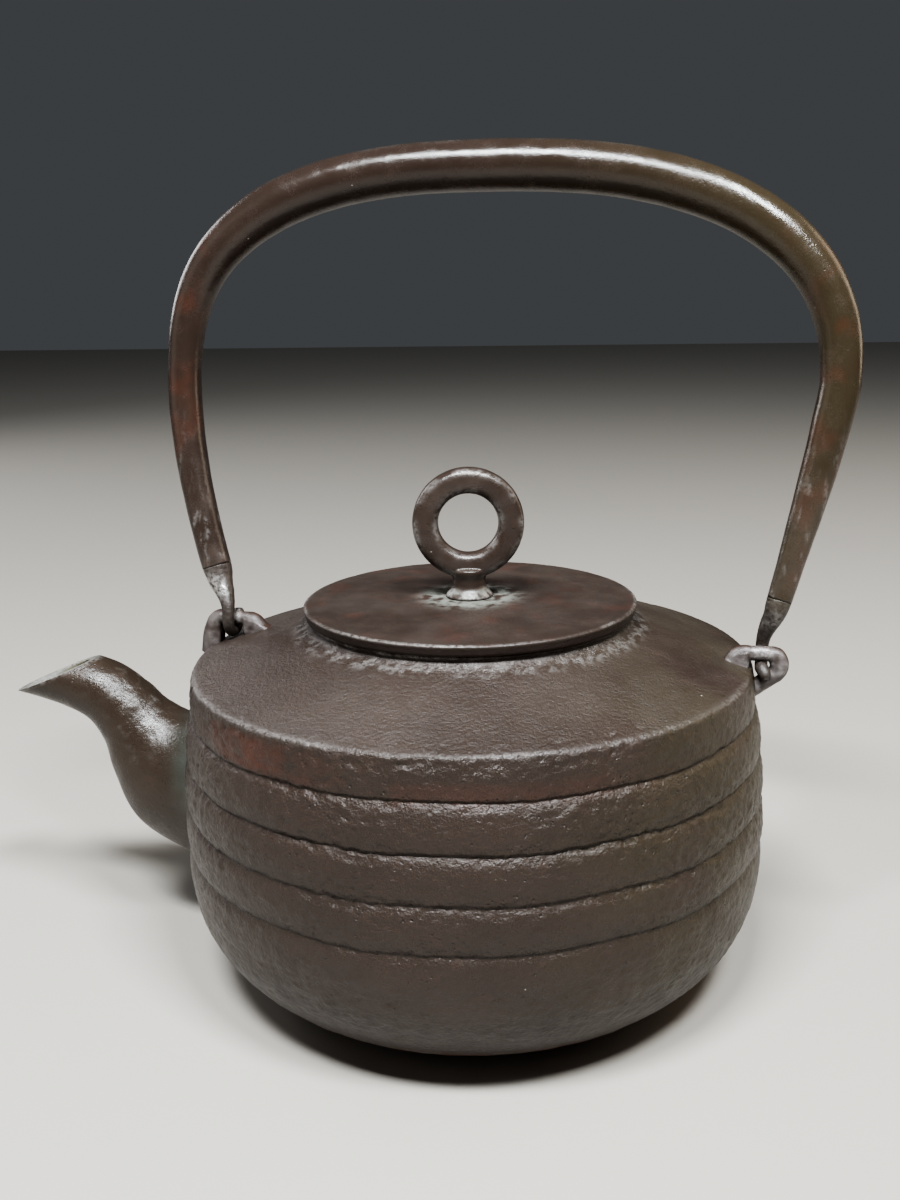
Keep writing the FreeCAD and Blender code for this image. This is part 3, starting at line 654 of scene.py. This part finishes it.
def between(line, start_side, end_side, count):
    """The stretch of a line from where start_side turns positive to where end_side does, resampled."""
    begin = int(np.flatnonzero(start_side <= 0)[-1]) if (start_side <= 0).any() else 0
    after = np.flatnonzero(end_side[begin:] > 0)
    finish = begin + int(after[0]) if len(after) else len(line) - 1

    def crossing(values, before):
        low, high = values[before], values[before + 1]
        return line[before] + (line[before + 1] - line[before]) * (low / (low - high))

    first, last = crossing(start_side, begin), crossing(end_side, finish - 1)
    return resampled(np.vstack([[first], line[begin + 1:finish], [last]]), count)


def lip_side(points):
    """How far points lie over the plane of the pouring lip."""
    return ((points[..., 2] - LIP_TIP[1]) * math.cos(LIP_SLOPE)
            - (points[..., 0] - LIP_TIP[0]) * math.sin(LIP_SLOPE))


def spout_rings(segments, sunk):
    """Rings of the outside from the wall to the lip, the lip, the channel back to the bore, the spigot."""
    count = len(SPOUT_STATIONS)
    skin = spout_skin(SPOUT_STATIONS, np.zeros(count), 420, segments)
    off_wall = np.hypot(skin[..., 0], skin[..., 1]) - wall_radius(skin[..., 2]) + sunk
    outer = np.stack([between(skin[:, j], off_wall[:, j], lip_side(skin[:, j]) + LIP_ROUND, 170)
                      for j in range(segments)], axis=1)
    bore = [(66.0, SPIGOT_HEIGHT, 0, *ROUND_BORE), (76.0, SPIGOT_HEIGHT, 2, *ROUND_BORE)]
    insets = np.concatenate([[0, 0], np.linspace(3.4, 1.7, count - 1)])
    channel = spout_skin(np.vstack([bore, SPOUT_STATIONS[1:]]), insets, 260, segments)
    inner = np.stack([between(channel[:, j], -BORE_START - channel[:, j, 0],
                              lip_side(channel[:, j]) + LIP_ROUND, 70) for j in range(segments)], axis=1)
    crest = (outer[-1] + inner[-1]) / 2
    crest[:, 0] -= LIP_CREST * math.sin(LIP_SLOPE)
    crest[:, 2] += LIP_CREST * math.cos(LIP_SLOPE)
    lip = [(1 - t)**2 * outer[-1] + 2 * t * (1 - t) * crest + t**2 * inner[-1] for t in (0.2, 0.4, 0.6, 0.8)]
    turn = full_turn(segments)
    radius = SPIGOT_RADIUS - SPIGOT_PLAY
    across, up = radius * np.sin(turn), SPIGOT_HEIGHT + radius * np.cos(turn)
    spigot = [np.column_stack([np.full(segments, reach), across, up]) for reach in SPIGOT_REACH]
    return outer, lip, inner, spigot


def make_spout():
    outer, lip, inner, spigot = spout_rings(segments=200, sunk=1.6)
    piece = looped("spout_cast", np.concatenate([outer, lip, inner[::-1], spigot]))
    places, normals = vertices(piece)
    parts = np.repeat(np.arange(4), [len(rings) * outer.shape[1] for rings in (outer, lip, inner, spigot)])
    is_outer, is_channel = parts == 0, parts == 2
    near_lip = smooth(lip_side(places), -1.6, -0.3)
    off = np.hypot(places[:, 0], places[:, 1]) - wall_radius(places[:, 2])
    fillet = is_outer * 1.3 * np.clip(1 - (off + 0.2) / 3.2, 0, 1)**2 * (off > -1.2)
    root_top = near(places[:, 0], -98, 11) * smooth(places[:, 2], 52, 64)
    waves = Noise(31)(places, 11, 2)
    lumps = Noise(33)(places, (3.6, 3.6, 3.0), 2)
    strokes = Noise(35)(places, (2.6, 4.0, 0.55), 2) * near(places[:, 0], -88, 12)
    peel = Noise(37)(places, 1.7, 2)
    pits = smooth(Noise(38)(places, 1.3), 0.45, 0.9)
    skin = 0.10 * waves + 0.14 * root_top * lumps + 0.035 * strokes + 0.018 * peel
    skin -= 0.06 * pits * (0.3 + root_top)
    push(piece, fillet + is_outer * (1 - near_lip) * skin + is_channel * 0.06 * Noise(39)(places, 3, 3))

    patches = Noise(41)(places, 14, 3)
    colour = coat(mix(BROWN, OLIVE, 0.25), piece)
    colour = tint(colour, RUST, 0.30 * smooth(-normals[:, 2], 0.2, 0.9) * smooth(patches, -0.5, 0.6))
    root = 1 - smooth(off, 0.6, 11)
    moss = root * smooth(places[:, 2], 30, 60) * smooth(patches, -0.9, 0.2)
    colour = tint(colour, MOSS, 0.75 * is_outer * moss)
    moss = (1 - smooth(off, 0.0, 1.6)) * smooth(lumps, -0.5, 0.5)
    colour = tint(colour, MOSS * 1.4, 0.7 * is_outer * moss)
    chalk = tint(LIME, YELLOW_LIME, smooth(places[:, 0] + 4 * lumps, -131, -121))
    throat = is_channel * smooth(lip_side(places), -14, -2)
    rust_in = tint(RUST, ASH, smooth(patches, -0.4, 0.5))
    colour = tint(colour, tint(rust_in, chalk, throat * 0.9), is_channel)
    colour = tint(colour, LIME, 0.5 * near_lip * (1 - is_outer))
    rubbed = 0.40 * near_lip * smooth(Noise(43)(places, 2.2, 2), -0.9, 0.2)
    rubbed += is_outer * 0.18 * root_top * smooth(lumps, 0.2, 0.9)
    paint(piece, colour, np.clip(rubbed, 0, 1), 0.22 * is_channel + 0.05 * root * is_outer)
    stands_for(piece, "spout", "kettle",
               iron("spout_iron", grain=0.55, pits=0.9, brush=0.45, rough=0.30, specks=0.5))


# --- hinge, lugs
FRONT, REAR = -1, 1
PIVOT = {FRONT: np.array([-69.5, 0, 97.4]), REAR: np.array([78.3, 0, 93.2])}
HINGE_HALF = float(np.linalg.norm(PIVOT[REAR] - PIVOT[FRONT])) / 2
BAR_RADIUS = 2.0
ROUND = (BAR_RADIUS, BAR_RADIUS)
HOOK_RADIUS = 1.7
HOOK_PLAY = 0.15
HOOK_TRACK = BAR_RADIUS + HOOK_PLAY + HOOK_RADIUS

# In a lug's own plane, outwards and up from its bar's middle: the bar's corners with their roundings,
# its half thickness along the way in the plane and across it, the webs' corners and the foot's line.
LUG_BARS = {
    FRONT: [(-9.6, -6.6, 0), (-6.9, -0.1, 4.2), (5.2, 0.0, 3.6), (6.4, -4.6, 4.0), (6.6, -10.6, 0)],
    REAR: [(-8.4, -5.6, 0), (-6.4, -0.2, 3.0), (4.2, 0.1, 2.8), (4.8, -4.4, 2.8), (-1.6, -9.6, 1.5),
           (-4.0, -11.0, 0)]}
LUG_THICKNESS = {
    FRONT: [(3.4, 3.0), (2.5, 2.4), ROUND, ROUND, (2.3, 2.4), (2.9, 3.0), (3.4, 3.4)],
    REAR: [(3.0, 2.8), (2.3, 2.3), ROUND, ROUND, (2.5, 2.6), (2.3, 2.4), (2.2, 2.2), (2.4, 2.4)]}
# Each web: corners, half thickness, rounding of the corners.
LUG_WEBS = {
    FRONT: [([(-3.0, 0.8), (-7.0, 0.3), (-13.2, -3.2), (-12.5, -6.0), (-5.0, -7.0), (-3.2, -4.2)], 2.4, 1.5),
            ([(3.2, 0.6), (6.6, -2.2), (8.4, -7.6), (7.0, -10.8), (3.6, -9.6), (3.1, -5.4)], 2.2, 1.2)],
    REAR: [([(-3.0, 1.2), (-7.6, 0.2), (-9.6, -4.6), (-5.4, -5.4), (-3.0, -4.8)], 2.3, 1.2),
           ([(3.1, 1.0), (5.6, -0.4), (5.9, -4.0), (4.0, -6.0), (3.0, -4.6)], 2.2, 1.0)]}
LUG_FEET = {
    FRONT: ([(-13.4, -2.9), (-9.0, -4.6), (-5.5, -6.0)], [(1.1, 2.9), (1.6, 3.4), (1.2, 3.0)]),
    REAR: ([(-9.8, -2.2), (-7.0, -3.4), (-4.6, -4.2)], [(1.0, 2.6), (1.4, 3.0), (1.0, 2.6)])}


def turn_matrix(axis, degrees):
    return np.array(Matrix.Rotation(math.radians(degrees), 3, axis))


def lug_place(side, points):
    """From a lug's own frame (outwards, y, up; origin in its bar's middle) to the kettle's."""
    points = np.asarray(points, float) * [side, 1, 1]
    return points @ turn_matrix("Y", math.degrees(HINGE_TILT)).T + PIVOT[side]


def lug_tube(side, points, radii):
    """Bar along a line in the lug's plane, its half thicknesses spread evenly along it."""
    points = np.asarray(points, float)
    line = even_steps(np.column_stack([points[:, 0], np.zeros(len(points)), points[:, 1]]), 0.5)
    share, given = np.linspace(0, 1, len(line)), np.linspace(0, 1, len(radii))
    radii = np.column_stack([np.interp(share, given, values) for values in np.transpose(radii)])
    return capped("lug_bar", lug_place(side, tube_points(line, radii, 28, np.array([0.0, 1.0, 0.0]))))


def lug_plate(side, corners, half, rim):
    """Cast web: a flat plate over rounded corners in the plane of the bar, thinner at its rim."""
    line = rounded([(*corners[0], 0)] + [(x, z, rim) for x, z in corners[1:]] + [(*corners[0], 0)])[:-1]
    middle = line.mean(0)
    rings = []
    for share, depth in ((0.3, -1), (0.80, -1), (0.95, -0.72), (1.0, -0.25),
                         (1.0, 0.25), (0.95, 0.72), (0.80, 1), (0.3, 1)):
        flat = middle + (line - middle) * share
        rings.append(np.column_stack([flat[:, 0], np.full(len(flat), depth * half), flat[:, 1]]))
    return capped("lug_plate", lug_place(side, np.array(rings)))


def make_lug(node, side):
    parts = [lug_tube(side, rounded(LUG_BARS[side]), LUG_THICKNESS[side])]
    parts += [lug_plate(side, *web) for web in LUG_WEBS[side]]
    parts.append(lug_tube(side, *LUG_FEET[side]))
    piece = melt(node + "_cast", parts, 0.28, 5)
    places, normals = vertices(piece)
    from_bar = np.hypot(places[:, 1], places[:, 2] - PIVOT[side][2])
    free = smooth(np.abs(places[:, 0] - PIVOT[side][0]), 2.2, 3.4)
    lumps = Noise(51 + side)(places, 3.0, 2)
    push(piece, free * (0.10 * lumps + 0.03 * Noise(53 + side)(places, 1.1, 2)))
    # Painted light: the faces towards the front, where the light falls, get a pinkish grey and, through the
    # wear channel, lighter bare iron, both broken up by lumps. The bar's middle, where the hook bears, is
    # really rubbed.
    lit_face = smooth(-normals[:, 1], 0.1, 0.8)
    lit_face_greyness, lighter_face_share = (0.75, 0.40) if side == REAR else (0.45, 0.15)
    colour = tint(coat(BROWN * 1.1, piece), PAINTED_LIGHT_PINK_GREY, lit_face_greyness * lit_face * smooth(lumps, -1.0, 0.3))
    colour = tint(colour, RUST, 0.4 * smooth(normals[:, 2], 0.4, 0.9) * smooth(lumps, -0.3, 0.8))
    wear_and_highlight = lighter_face_share * lit_face * smooth(lumps, -0.2, 0.7) + 0.5 * (1 - free) * (1 - smooth(from_bar, 1.9, 2.3))
    paint(piece, colour, np.clip(wear_and_highlight, 0, 1), 0.05)
    stands_for(piece, node, "kettle",
               iron(node + "_iron", grain=0.7, pits=0.8, brush=0.2, rough=0.42))


# --- lid, knob and washer
TANG_HOLE = 2.7
LID_GAP, LID_EDGE = 0.1, 3.0
RING_RADIUS, RING_HALF = 11.6, 3.5
RING_TURN = 12.0
RING_SQUARENESS = 2.9
LID_CROWN = box_mm("lid")[1][2]


def make_lid():
    under, top = RIM + LID_GAP, RIM + LID_GAP + LID_EDGE
    radius = LID_TOP_RADIUS
    profile = rounded([
        (TANG_HOLE, under, 0), (36.2, under, 0.6), (36.7, LID_LOW, 0.5), (38.3, LID_LOW, 0.5),
        (38.8, under, 0.5), (radius - 0.55, under, 0.4), (radius - 0.15, top - 1.0, 1.5),
        (radius, top - 0.45, 0.3), (radius - 0.75, top, 0.45), (30.0, top + 0.42, 40),
        (12.0, LID_CROWN - 0.05, 20), (TANG_HOLE, LID_CROWN, 0)])
    outline = even_steps(np.vstack([profile, profile[:1]]), 0.42)
    piece = looped("lid_cast", spun(outline[:-1], 620))
    places, normals = vertices(piece)
    radius_here = np.hypot(places[:, 0], places[:, 1])
    open_top = smooth(normals[:, 2], 0.2, 0.7)
    rim = smooth(radius_here, 43.8, 44.6) * (normals[:, 2] > -0.5)
    waves = Noise(61)(places, 16, 2)
    peel = Noise(63)(places, (1.8, 1.3, 1.5), 2)
    nicks = smooth(Noise(65)(places, 2.6, 2), 0.5, 1.0)
    ease = np.clip((radius_here - 3.0) / 2, 0, 1)
    on_top = open_top * (0.05 * waves + 0.012 * peel)
    push(piece, ease * (on_top + rim * (0.05 * Noise(67)(places, 5, 2) - 0.12 * nicks)))
    colour = tint(coat(BROWN * 0.92, piece), ASH, 0.22 * open_top * smooth(waves, -0.6, 0.7))
    colour = tint(colour, RUST, 0.20 * open_top * smooth(Noise(69)(places, 9, 3), 0.0, 0.9))
    foot = near(radius_here, 9.0, 4.2) * open_top * smooth(Noise(71)(places, 3.2, 3), -0.6, 0.25)
    colour = tint(colour, THIN_SCALE, 0.8 * foot)
    hidden = (normals[:, 2] < -0.5) | (places[:, 2] < under - 0.3)
    colour = tint(colour, tint(RUST, ASH, smooth(waves, -0.3, 0.4)), 0.7 * hidden)
    edge_line = near(places[:, 2], top - 0.15, 0.30) * smooth(radius_here, 44.2, 44.9)
    wear_and_highlight = np.clip(0.45 * edge_line * smooth(waves, -0.7, 0.4) + 0.22 * foot, 0, 1)
    paint(piece, colour, wear_and_highlight, 0.05 + 0.12 * hidden + 0.12 * foot)
    stands_for(piece, "lid", "lid",
               iron("lid_iron", grain=0.45, pits=0.6, brush=0.7, rough=0.40, turned_marks=True))


def make_knob():
    centre = np.array([0, 0, KNOB_TOP - RING_RADIUS - RING_HALF])
    angle = full_turn(220)[:, None]
    turn = full_turn(56)
    size = squared(np.cos(turn), np.sin(turn), RING_SQUARENESS)
    out = RING_RADIUS + RING_HALF * size * np.cos(turn)
    across = np.broadcast_to(RING_HALF * 0.97 * size * np.sin(turn), (len(angle), len(turn)))
    around = turn_matrix("Z", RING_TURN)
    rings = np.stack([out * np.sin(angle), across, out * np.cos(angle)], axis=-1)
    ring = looped("knob_ring", rings @ around.T + centre)
    low, crown = box_mm("lid_knob")[0][2], LID_CROWN
    stem = turned("knob_stem", even_steps(rounded([
        (0, low, 0), (3.3, low, 0.4), (4.3, low + 1.55, 0.6), (2.6, low + 1.65, 0.2),
        (2.6, crown + 0.05, 0.2), (6.6, crown + 0.05, 0.3), (6.3, crown + 0.75, 0.8), (4.5, crown + 2.6, 2.2),
        (4.4, crown + 5.0, 1.5), (5.4, crown + 8.0, 1.0), (0, crown + 8.4, 0)]), 0.3), 96)
    piece = melt("lid_knob_cast", [ring, stem], 0.27, 4)
    places = vertices(piece)[0]
    over = smooth(places[:, 2], crown + 0.3, crown + 1.5)
    waves = Noise(81)(places, 6, 2)
    push(piece, over * (0.06 * waves + 0.018 * Noise(83)(places, 1.3, 2)))
    colour = tint(coat(BROWN * 1.05, piece), ASH, 0.25 * smooth(waves, -0.2, 0.8))
    low_part = 1 - smooth(places[:, 2], crown + 0.4, crown + 3.6)
    patch = low_part * smooth(Noise(85)(places, 2.4, 3), -0.7, 0.2)
    colour = tint(colour, SCALE, 0.75 * patch * over)
    own = places @ around
    span = np.hypot(own[:, 0], own[:, 2] - centre[2])
    ridge = near(np.abs(own[:, 1]), 2.5, 0.9) * near(np.abs(span - RING_RADIUS), 2.6, 0.9)
    wear_and_highlight = 0.40 * ridge * smooth(waves, -0.5, 0.6) + 0.35 * patch
    paint(piece, colour, np.clip(wear_and_highlight, 0, 1), 0.10 * low_part)
    stands_for(piece, "lid_knob", "lid",
               iron("knob_iron", grain=0.35, pits=0.5, brush=0.15, rough=0.30, specks=0.8))


def make_washer():
    low, high = box_mm("knob_washer")
    radius, under, top = high[0], low[2], high[2]
    outline = even_steps(rounded([
        (TANG_HOLE, under, 0), (radius - 0.15, under, 0.3), (radius, under + 0.6, 0.3),
        (radius - 0.15, top, 0.3), (TANG_HOLE, top, 0), (TANG_HOLE, under, 0)]), 0.12)
    piece = looped("knob_washer_cut", spun(outline[:-1], 120))
    places, normals = vertices(piece)
    rim = smooth(np.hypot(places[:, 0], places[:, 1]), 5.5, 6.8)
    push(piece, rim * 0.06 * Noise(91)(places, 1.6, 2) * (np.abs(normals[:, 2]) < 0.7))
    colour = tint(coat(BROWN, piece), RUST, smooth(Noise(93)(places, 2.5, 3), -0.2, 0.8))
    paint(piece, colour, 0.25 * rim, 0.15)
    stands_for(piece, "knob_washer", "lid",
               iron("washer_iron_skin", grain=0.5, pits=1.0, brush=0.1, rough=0.45, specks=0.0))


# --- handle
HALF_SPAN = {FRONT: 90.7, REAR: 88.9}
SQUARENESS = {FRONT: 2.6, REAR: 2.4}
BOW = {FRONT: 1.7, REAR: 1.15}
KNEE_RADIUS = {FRONT: 4.5, REAR: 5.1}
END_RADIUS = {FRONT: 4.0, REAR: 3.1}
GRIP_RADIUS = 6.7
SHEET = 1.2
KNEE, RISE, TUBE_END, LEAN = 70.0, 125.8, 14.5, 10.0
HANDLE_TURN = turn_matrix("Y", math.degrees(HINGE_TILT)) @ turn_matrix("X", -LEAN)
TUBE_COLOUR = {FRONT: BROWN * 0.95, REAR: OLIVE * 1.15}
TUBE_ASH = ASH * 0.9
# Per side: how far round the bar the hook bends in degrees, then its tip's way, length, steps, the
# length at which its taper would close, the least share of its thickness and its swell.
HOOK_TIPS = {FRONT: (180, (0.0, 0.0, 1.0), 2.4, 9, 2.75, 0.03, 1.0),
             REAR: (118, (0.42, -0.55, -0.72), 3.6, 13, 4.0, 0.05, 1.03)}
SHANK_PLAY = 0.35


def handle_place(points):
    """From the handle's own plane (along, y, up; origin in the hinge's middle) to the kettle's frame."""
    return np.asarray(points, float) @ HANDLE_TURN.T + HINGE


def leg_point(side, height):
    share = 1 - np.maximum(1 - height / KNEE, 0)**BOW[side]
    across = HINGE_HALF + (HALF_SPAN[side] - HINGE_HALF) * share
    return np.stack([side * across, np.zeros_like(across), height], axis=-1)


def arch_point(side, turn):
    power = 2 / SQUARENESS[side]
    across = HALF_SPAN[side] * np.cos(turn)**power
    height = KNEE + (RISE - KNEE) * np.sin(turn)**power
    return np.stack([side * across, np.zeros_like(across), height], axis=-1)


def tube_radius(side, height):
    knee, end = KNEE_RADIUS[side], END_RADIUS[side]
    return (end + (knee - end) * smooth(height, TUBE_END - 10, KNEE)
            + (GRIP_RADIUS - knee) * smooth(height, KNEE - 5, RISE))


def tube_line():
    """Centre line of the whole handle with its radius, from the front end to the rear end."""
    halves = []
    turn = np.clip(np.linspace(0, math.pi / 2, 240), 1e-5, math.pi / 2 - 1e-5)
    for side in (FRONT, REAR):
        heights = np.linspace(TUBE_END, KNEE, 90)[:-1]
        line = np.vstack([leg_point(side, heights), arch_point(side, turn)])
        halves.append(np.column_stack([line, tube_radius(side, line[:, 2])]))
    return even_steps(np.vstack([halves[0], halves[1][::-1][1:]]), 0.55)


def make_handle_tube():
    stations = tube_line()
    line, radii = stations[:, :3], stations[:, 3]
    segments, twist = 96, math.radians(22)
    sideways = np.array([0.0, 1.0, 0.0])
    facet = 2.0 + 0.5 * (1 - smooth(line[:, 2], 60, 100))
    outer = tube_points(line, radii, segments, sideways, facet, twist)
    few = np.unique(np.concatenate([np.arange(0, len(line), 6), [len(line) - 1]]))
    inner = tube_points(line, np.maximum(radii - SHEET, SHEET), segments, sideways, facet, twist)[few]
    end_ring = outer[:1] * 0.5 + inner[:1] * 0.5
    piece = looped("handle_tube_skin", handle_place(np.concatenate([outer, inner[::-1], end_ring])))
    places, normals = vertices(piece)
    skin = np.arange(len(places)) < len(outer) * segments
    waves = Noise(101)(places, (16, 10, 16), 2)
    dents = Noise(103)(places, 5.0, 2)
    push(piece, skin * (0.11 * waves + 0.045 * dents + 0.008 * Noise(105)(places, 1.2, 2)))
    height = places[:, 2]
    colour = tint(coat(TUBE_COLOUR[FRONT], piece), TUBE_COLOUR[REAR], 0.75 * smooth(places[:, 0], -10, 85))
    patches = Noise(107)(places, 12, 3)
    colour = tint(colour, RUST, 0.35 * smooth(patches, 0.1, 0.9) * (1 - smooth(height, 185, 215)))
    low = 1 - smooth(height, 112, 165)
    colour = tint(colour, TUBE_ASH, 0.35 * low * smooth(patches, -0.6, 0.4))
    wear_and_highlight = low * smooth(Noise(109)(places, (1.6, 1.6, 7), 2), 0.15, 0.9) * 0.35
    wear_and_highlight += 0.10 * smooth(normals[:, 2], 0.75, 1.0) * smooth(patches, -0.5, 0.8)
    paint(piece, colour, np.clip(wear_and_highlight * skin, 0, 1), 0.06 * low + 0.1 * ~skin)
    stands_for(piece, "handle_tube", "handle",
               iron("handle_iron_skin", grain=0.22, pits=0.35, brush=0.10, rough=0.20, specks=0.7))


def hook_line(side):
    """Centre line and radii of a hook, and how many of its points come before the bend."""
    heights = np.concatenate([np.linspace(TUBE_END + 9, TUBE_END + 0.05, 8), np.linspace(TUBE_END, 0, 46)])
    blend = smooth(heights, 0, 0.8 * TUBE_END)[:, None]
    straight = np.column_stack([np.full(len(heights), side * HINGE_HALF), np.zeros(len(heights)), heights])
    neck = mix(straight, leg_point(side, heights), blend)
    neck[:, 1] = side * HOOK_TRACK * (1 - smooth(heights, 0.1 * TUBE_END, 0.95 * TUBE_END))
    thick = tube_radius(side, np.array(TUBE_END))
    neck_radii = mix(HOOK_RADIUS, thick, smooth(heights, 0.1 * TUBE_END, 1.05 * TUBE_END))
    shank = heights > TUBE_END
    neck_radii[shank] = tube_radius(side, heights[shank]) - SHEET - SHANK_PLAY
    bend_end, way, length, steps, closing, least, swell = HOOK_TIPS[side]
    bend = np.radians(np.linspace(0, 180, 40)[1:])
    bend = bend[bend <= math.radians(bend_end)]
    arc = np.column_stack([np.full(len(bend), side * HINGE_HALF), side * HOOK_TRACK * np.cos(bend),
                           -HOOK_TRACK * np.sin(bend)])
    arc_radii = np.full(len(bend), HOOK_RADIUS - 0.02)
    reach = np.linspace(0, length, steps + 1)[1:]
    tip = arc[-1] + reach[:, None] * np.array(way) / np.linalg.norm(way)
    tip_radii = swell * HOOK_RADIUS * np.sqrt(np.clip(1 - (reach / closing)**3, least, 1))
    return np.vstack([neck, arc, tip]), np.concatenate([neck_radii, arc_radii, tip_radii]), len(neck)


def make_hook(node, side):
    """Forged end of the handle: a shank in the tube, a neck that steps aside, a bend and a tip."""
    line, radii, neck_count = hook_line(side)
    squareness = np.where(np.arange(len(line)) < neck_count, 2.4, 2.0)
    rings = tube_points(line, radii, 48, np.array([1.0, 0.0, 0.0]), squareness)
    piece = capped(node + "_forged", handle_place(rings))
    finer = piece.modifiers.new("finer", "SUBSURF")
    finer.levels = finer.render_levels = 1
    apply_modifiers(piece)
    places, normals = vertices(piece)
    height = ((places - HINGE) @ HANDLE_TURN)[:, 2]
    free = smooth(height, 5.0, 8.0) * (1 - smooth(height, TUBE_END - 0.4, TUBE_END))
    lumps = Noise(111 + side)(places, 2.6, 2)
    push(piece, free * (0.10 * lumps + 0.03 * Noise(113)(places, 0.9, 2)))
    colour = tint(coat(DARKEST_BROWN * 1.5, piece), BROWN, smooth(lumps, -0.4, 0.5))
    like_tube = mix(TUBE_COLOUR[FRONT], TUBE_COLOUR[REAR], 0.74 if side == REAR else 0.0)
    colour = tint(colour, mix(like_tube, TUBE_ASH, 0.2), smooth(height, 7.0, TUBE_END - 1.0))
    neck = near(height, 9.0, 2.6) * smooth(-normals[:, 1] - 0.3 * normals[:, 0], 0.45, 0.85)
    lighter_face_share = 1.15 if side == FRONT else 0.3
    wear_and_highlight = np.clip(lighter_face_share * neck * smooth(lumps, -0.8, 0.2) + 0.06, 0, 1)
    paint(piece, colour, wear_and_highlight, 0.04)
    stands_for(piece, node, "handle",
               iron(node + "_iron", grain=0.6, pits=0.7, brush=0.1, rough=0.36, specks=0.5))


# --- stage, light and camera
FLOOR_HALF, FLOOR_LEVEL = 3000.0, -0.15
FLOOR_COLOUR = (0.38, 0.355, 0.32, 1)
WORLD_COLOUR, WORLD_STRENGTH = (0.72, 0.76, 0.80, 1), 0.10
COOL = (0.92, 0.965, 1.0)
LIGHT_TARGET = (0, 0, 0.08)
# Name, place in metres, size in metres, watts and colour.
LIGHTS = [
    ("key_left", (-0.08, -0.50, 0.98), (0.34, 0.15), 19.0, COOL),
    ("key_right", (0.36, -0.40, 0.94), (0.26, 0.16), 15.0, COOL),
    ("fill_left", (-1.2, -0.7, 0.6), (0.9, 0.9), 1.6, (1.0, 0.96, 0.9)),
    ("back_left", (-1.15, 0.60, 0.60), (0.6, 0.6), 5.0, (0.97, 0.98, 1.0)),
    ("rim_right", (0.98, 0.62, 0.55), (0.5, 0.9), 3.4, (1.0, 0.84, 0.66))]
CAMERA_PLACE = (0.068898, -0.324142, 0.191984)
CAMERA_HEADING, CAMERA_DOWN, CAMERA_ROLL = np.radians([-12.929, 14.70, 1.311]).tolist()
CAMERA_LENS, CAMERA_SENSOR = 37.5, 36


def make_stage():
    low, high, level = -FLOOR_HALF, FLOOR_HALF, FLOOR_LEVEL
    corners = [(low, low, level), (high, low, level), (high, high, level), (low, high, level)]
    floor = mesh_object("floor", corners, [[0, 1, 2, 3]], closed=False)
    paper = bpy.data.materials.new("pale_floor")
    paper.use_nodes = True
    surface = paper.node_tree.nodes["Principled BSDF"]
    surface.inputs["Base Color"].default_value = FLOOR_COLOUR
    surface.inputs["Roughness"].default_value = 0.65
    floor.data.materials.append(paper)


def area_light(name, place, size, power, colour):
    """Soft light that shines on the kettle and isn't seen itself."""
    lamp = bpy.data.lights.new(name, "AREA")
    lamp.shape = "RECTANGLE"
    lamp.size, lamp.size_y = size
    lamp.energy = power
    lamp.color = colour
    holder = in_scene(name, lamp)
    holder.location = place
    holder.rotation_euler = (Vector(LIGHT_TARGET) - Vector(place)).to_track_quat("-Z", "Y").to_euler()
    holder.visible_camera = False


def make_lights():
    for light in LIGHTS:
        area_light(*light)
    world = bpy.data.worlds.new("studio")
    world.use_nodes = True
    backdrop = world.node_tree.nodes["Background"]
    backdrop.inputs["Color"].default_value = WORLD_COLOUR
    backdrop.inputs["Strength"].default_value = WORLD_STRENGTH
    bpy.context.scene.world = world
    bpy.context.scene.view_settings.view_transform = "AgX"
    bpy.context.scene.view_settings.look = "AgX - High Contrast"


def make_camera():
    """Stands in front, a little to the rear lug's side, and looks down on the kettle."""
    lens = bpy.data.cameras.new("camera")
    lens.sensor_width = CAMERA_SENSOR
    lens.lens = CAMERA_LENS
    lens.clip_start = 0.01
    holder = in_scene("camera", lens)
    heading, down, roll = CAMERA_HEADING, CAMERA_DOWN, CAMERA_ROLL
    ahead = Vector((math.sin(heading) * math.cos(down), math.cos(heading) * math.cos(down), -math.sin(down)))
    level = Vector((math.cos(heading), -math.sin(heading), 0))
    below = ahead.cross(level)
    right = level * math.cos(roll) + below * math.sin(roll)
    below = below * math.cos(roll) - level * math.sin(roll)
    turn = Matrix((right, -below, -ahead)).transposed()
    holder.matrix_world = Matrix.Translation(CAMERA_PLACE) @ turn.to_4x4()
    bpy.context.scene.camera = holder


make_body()
make_spout()
make_lug("front_lug", FRONT)
make_lug("rear_lug", REAR)
make_lid()
make_knob()
make_washer()
make_handle_tube()
make_hook("front_hook", FRONT)
make_hook("rear_hook", REAR)
make_stage()
make_lights()
make_camera()
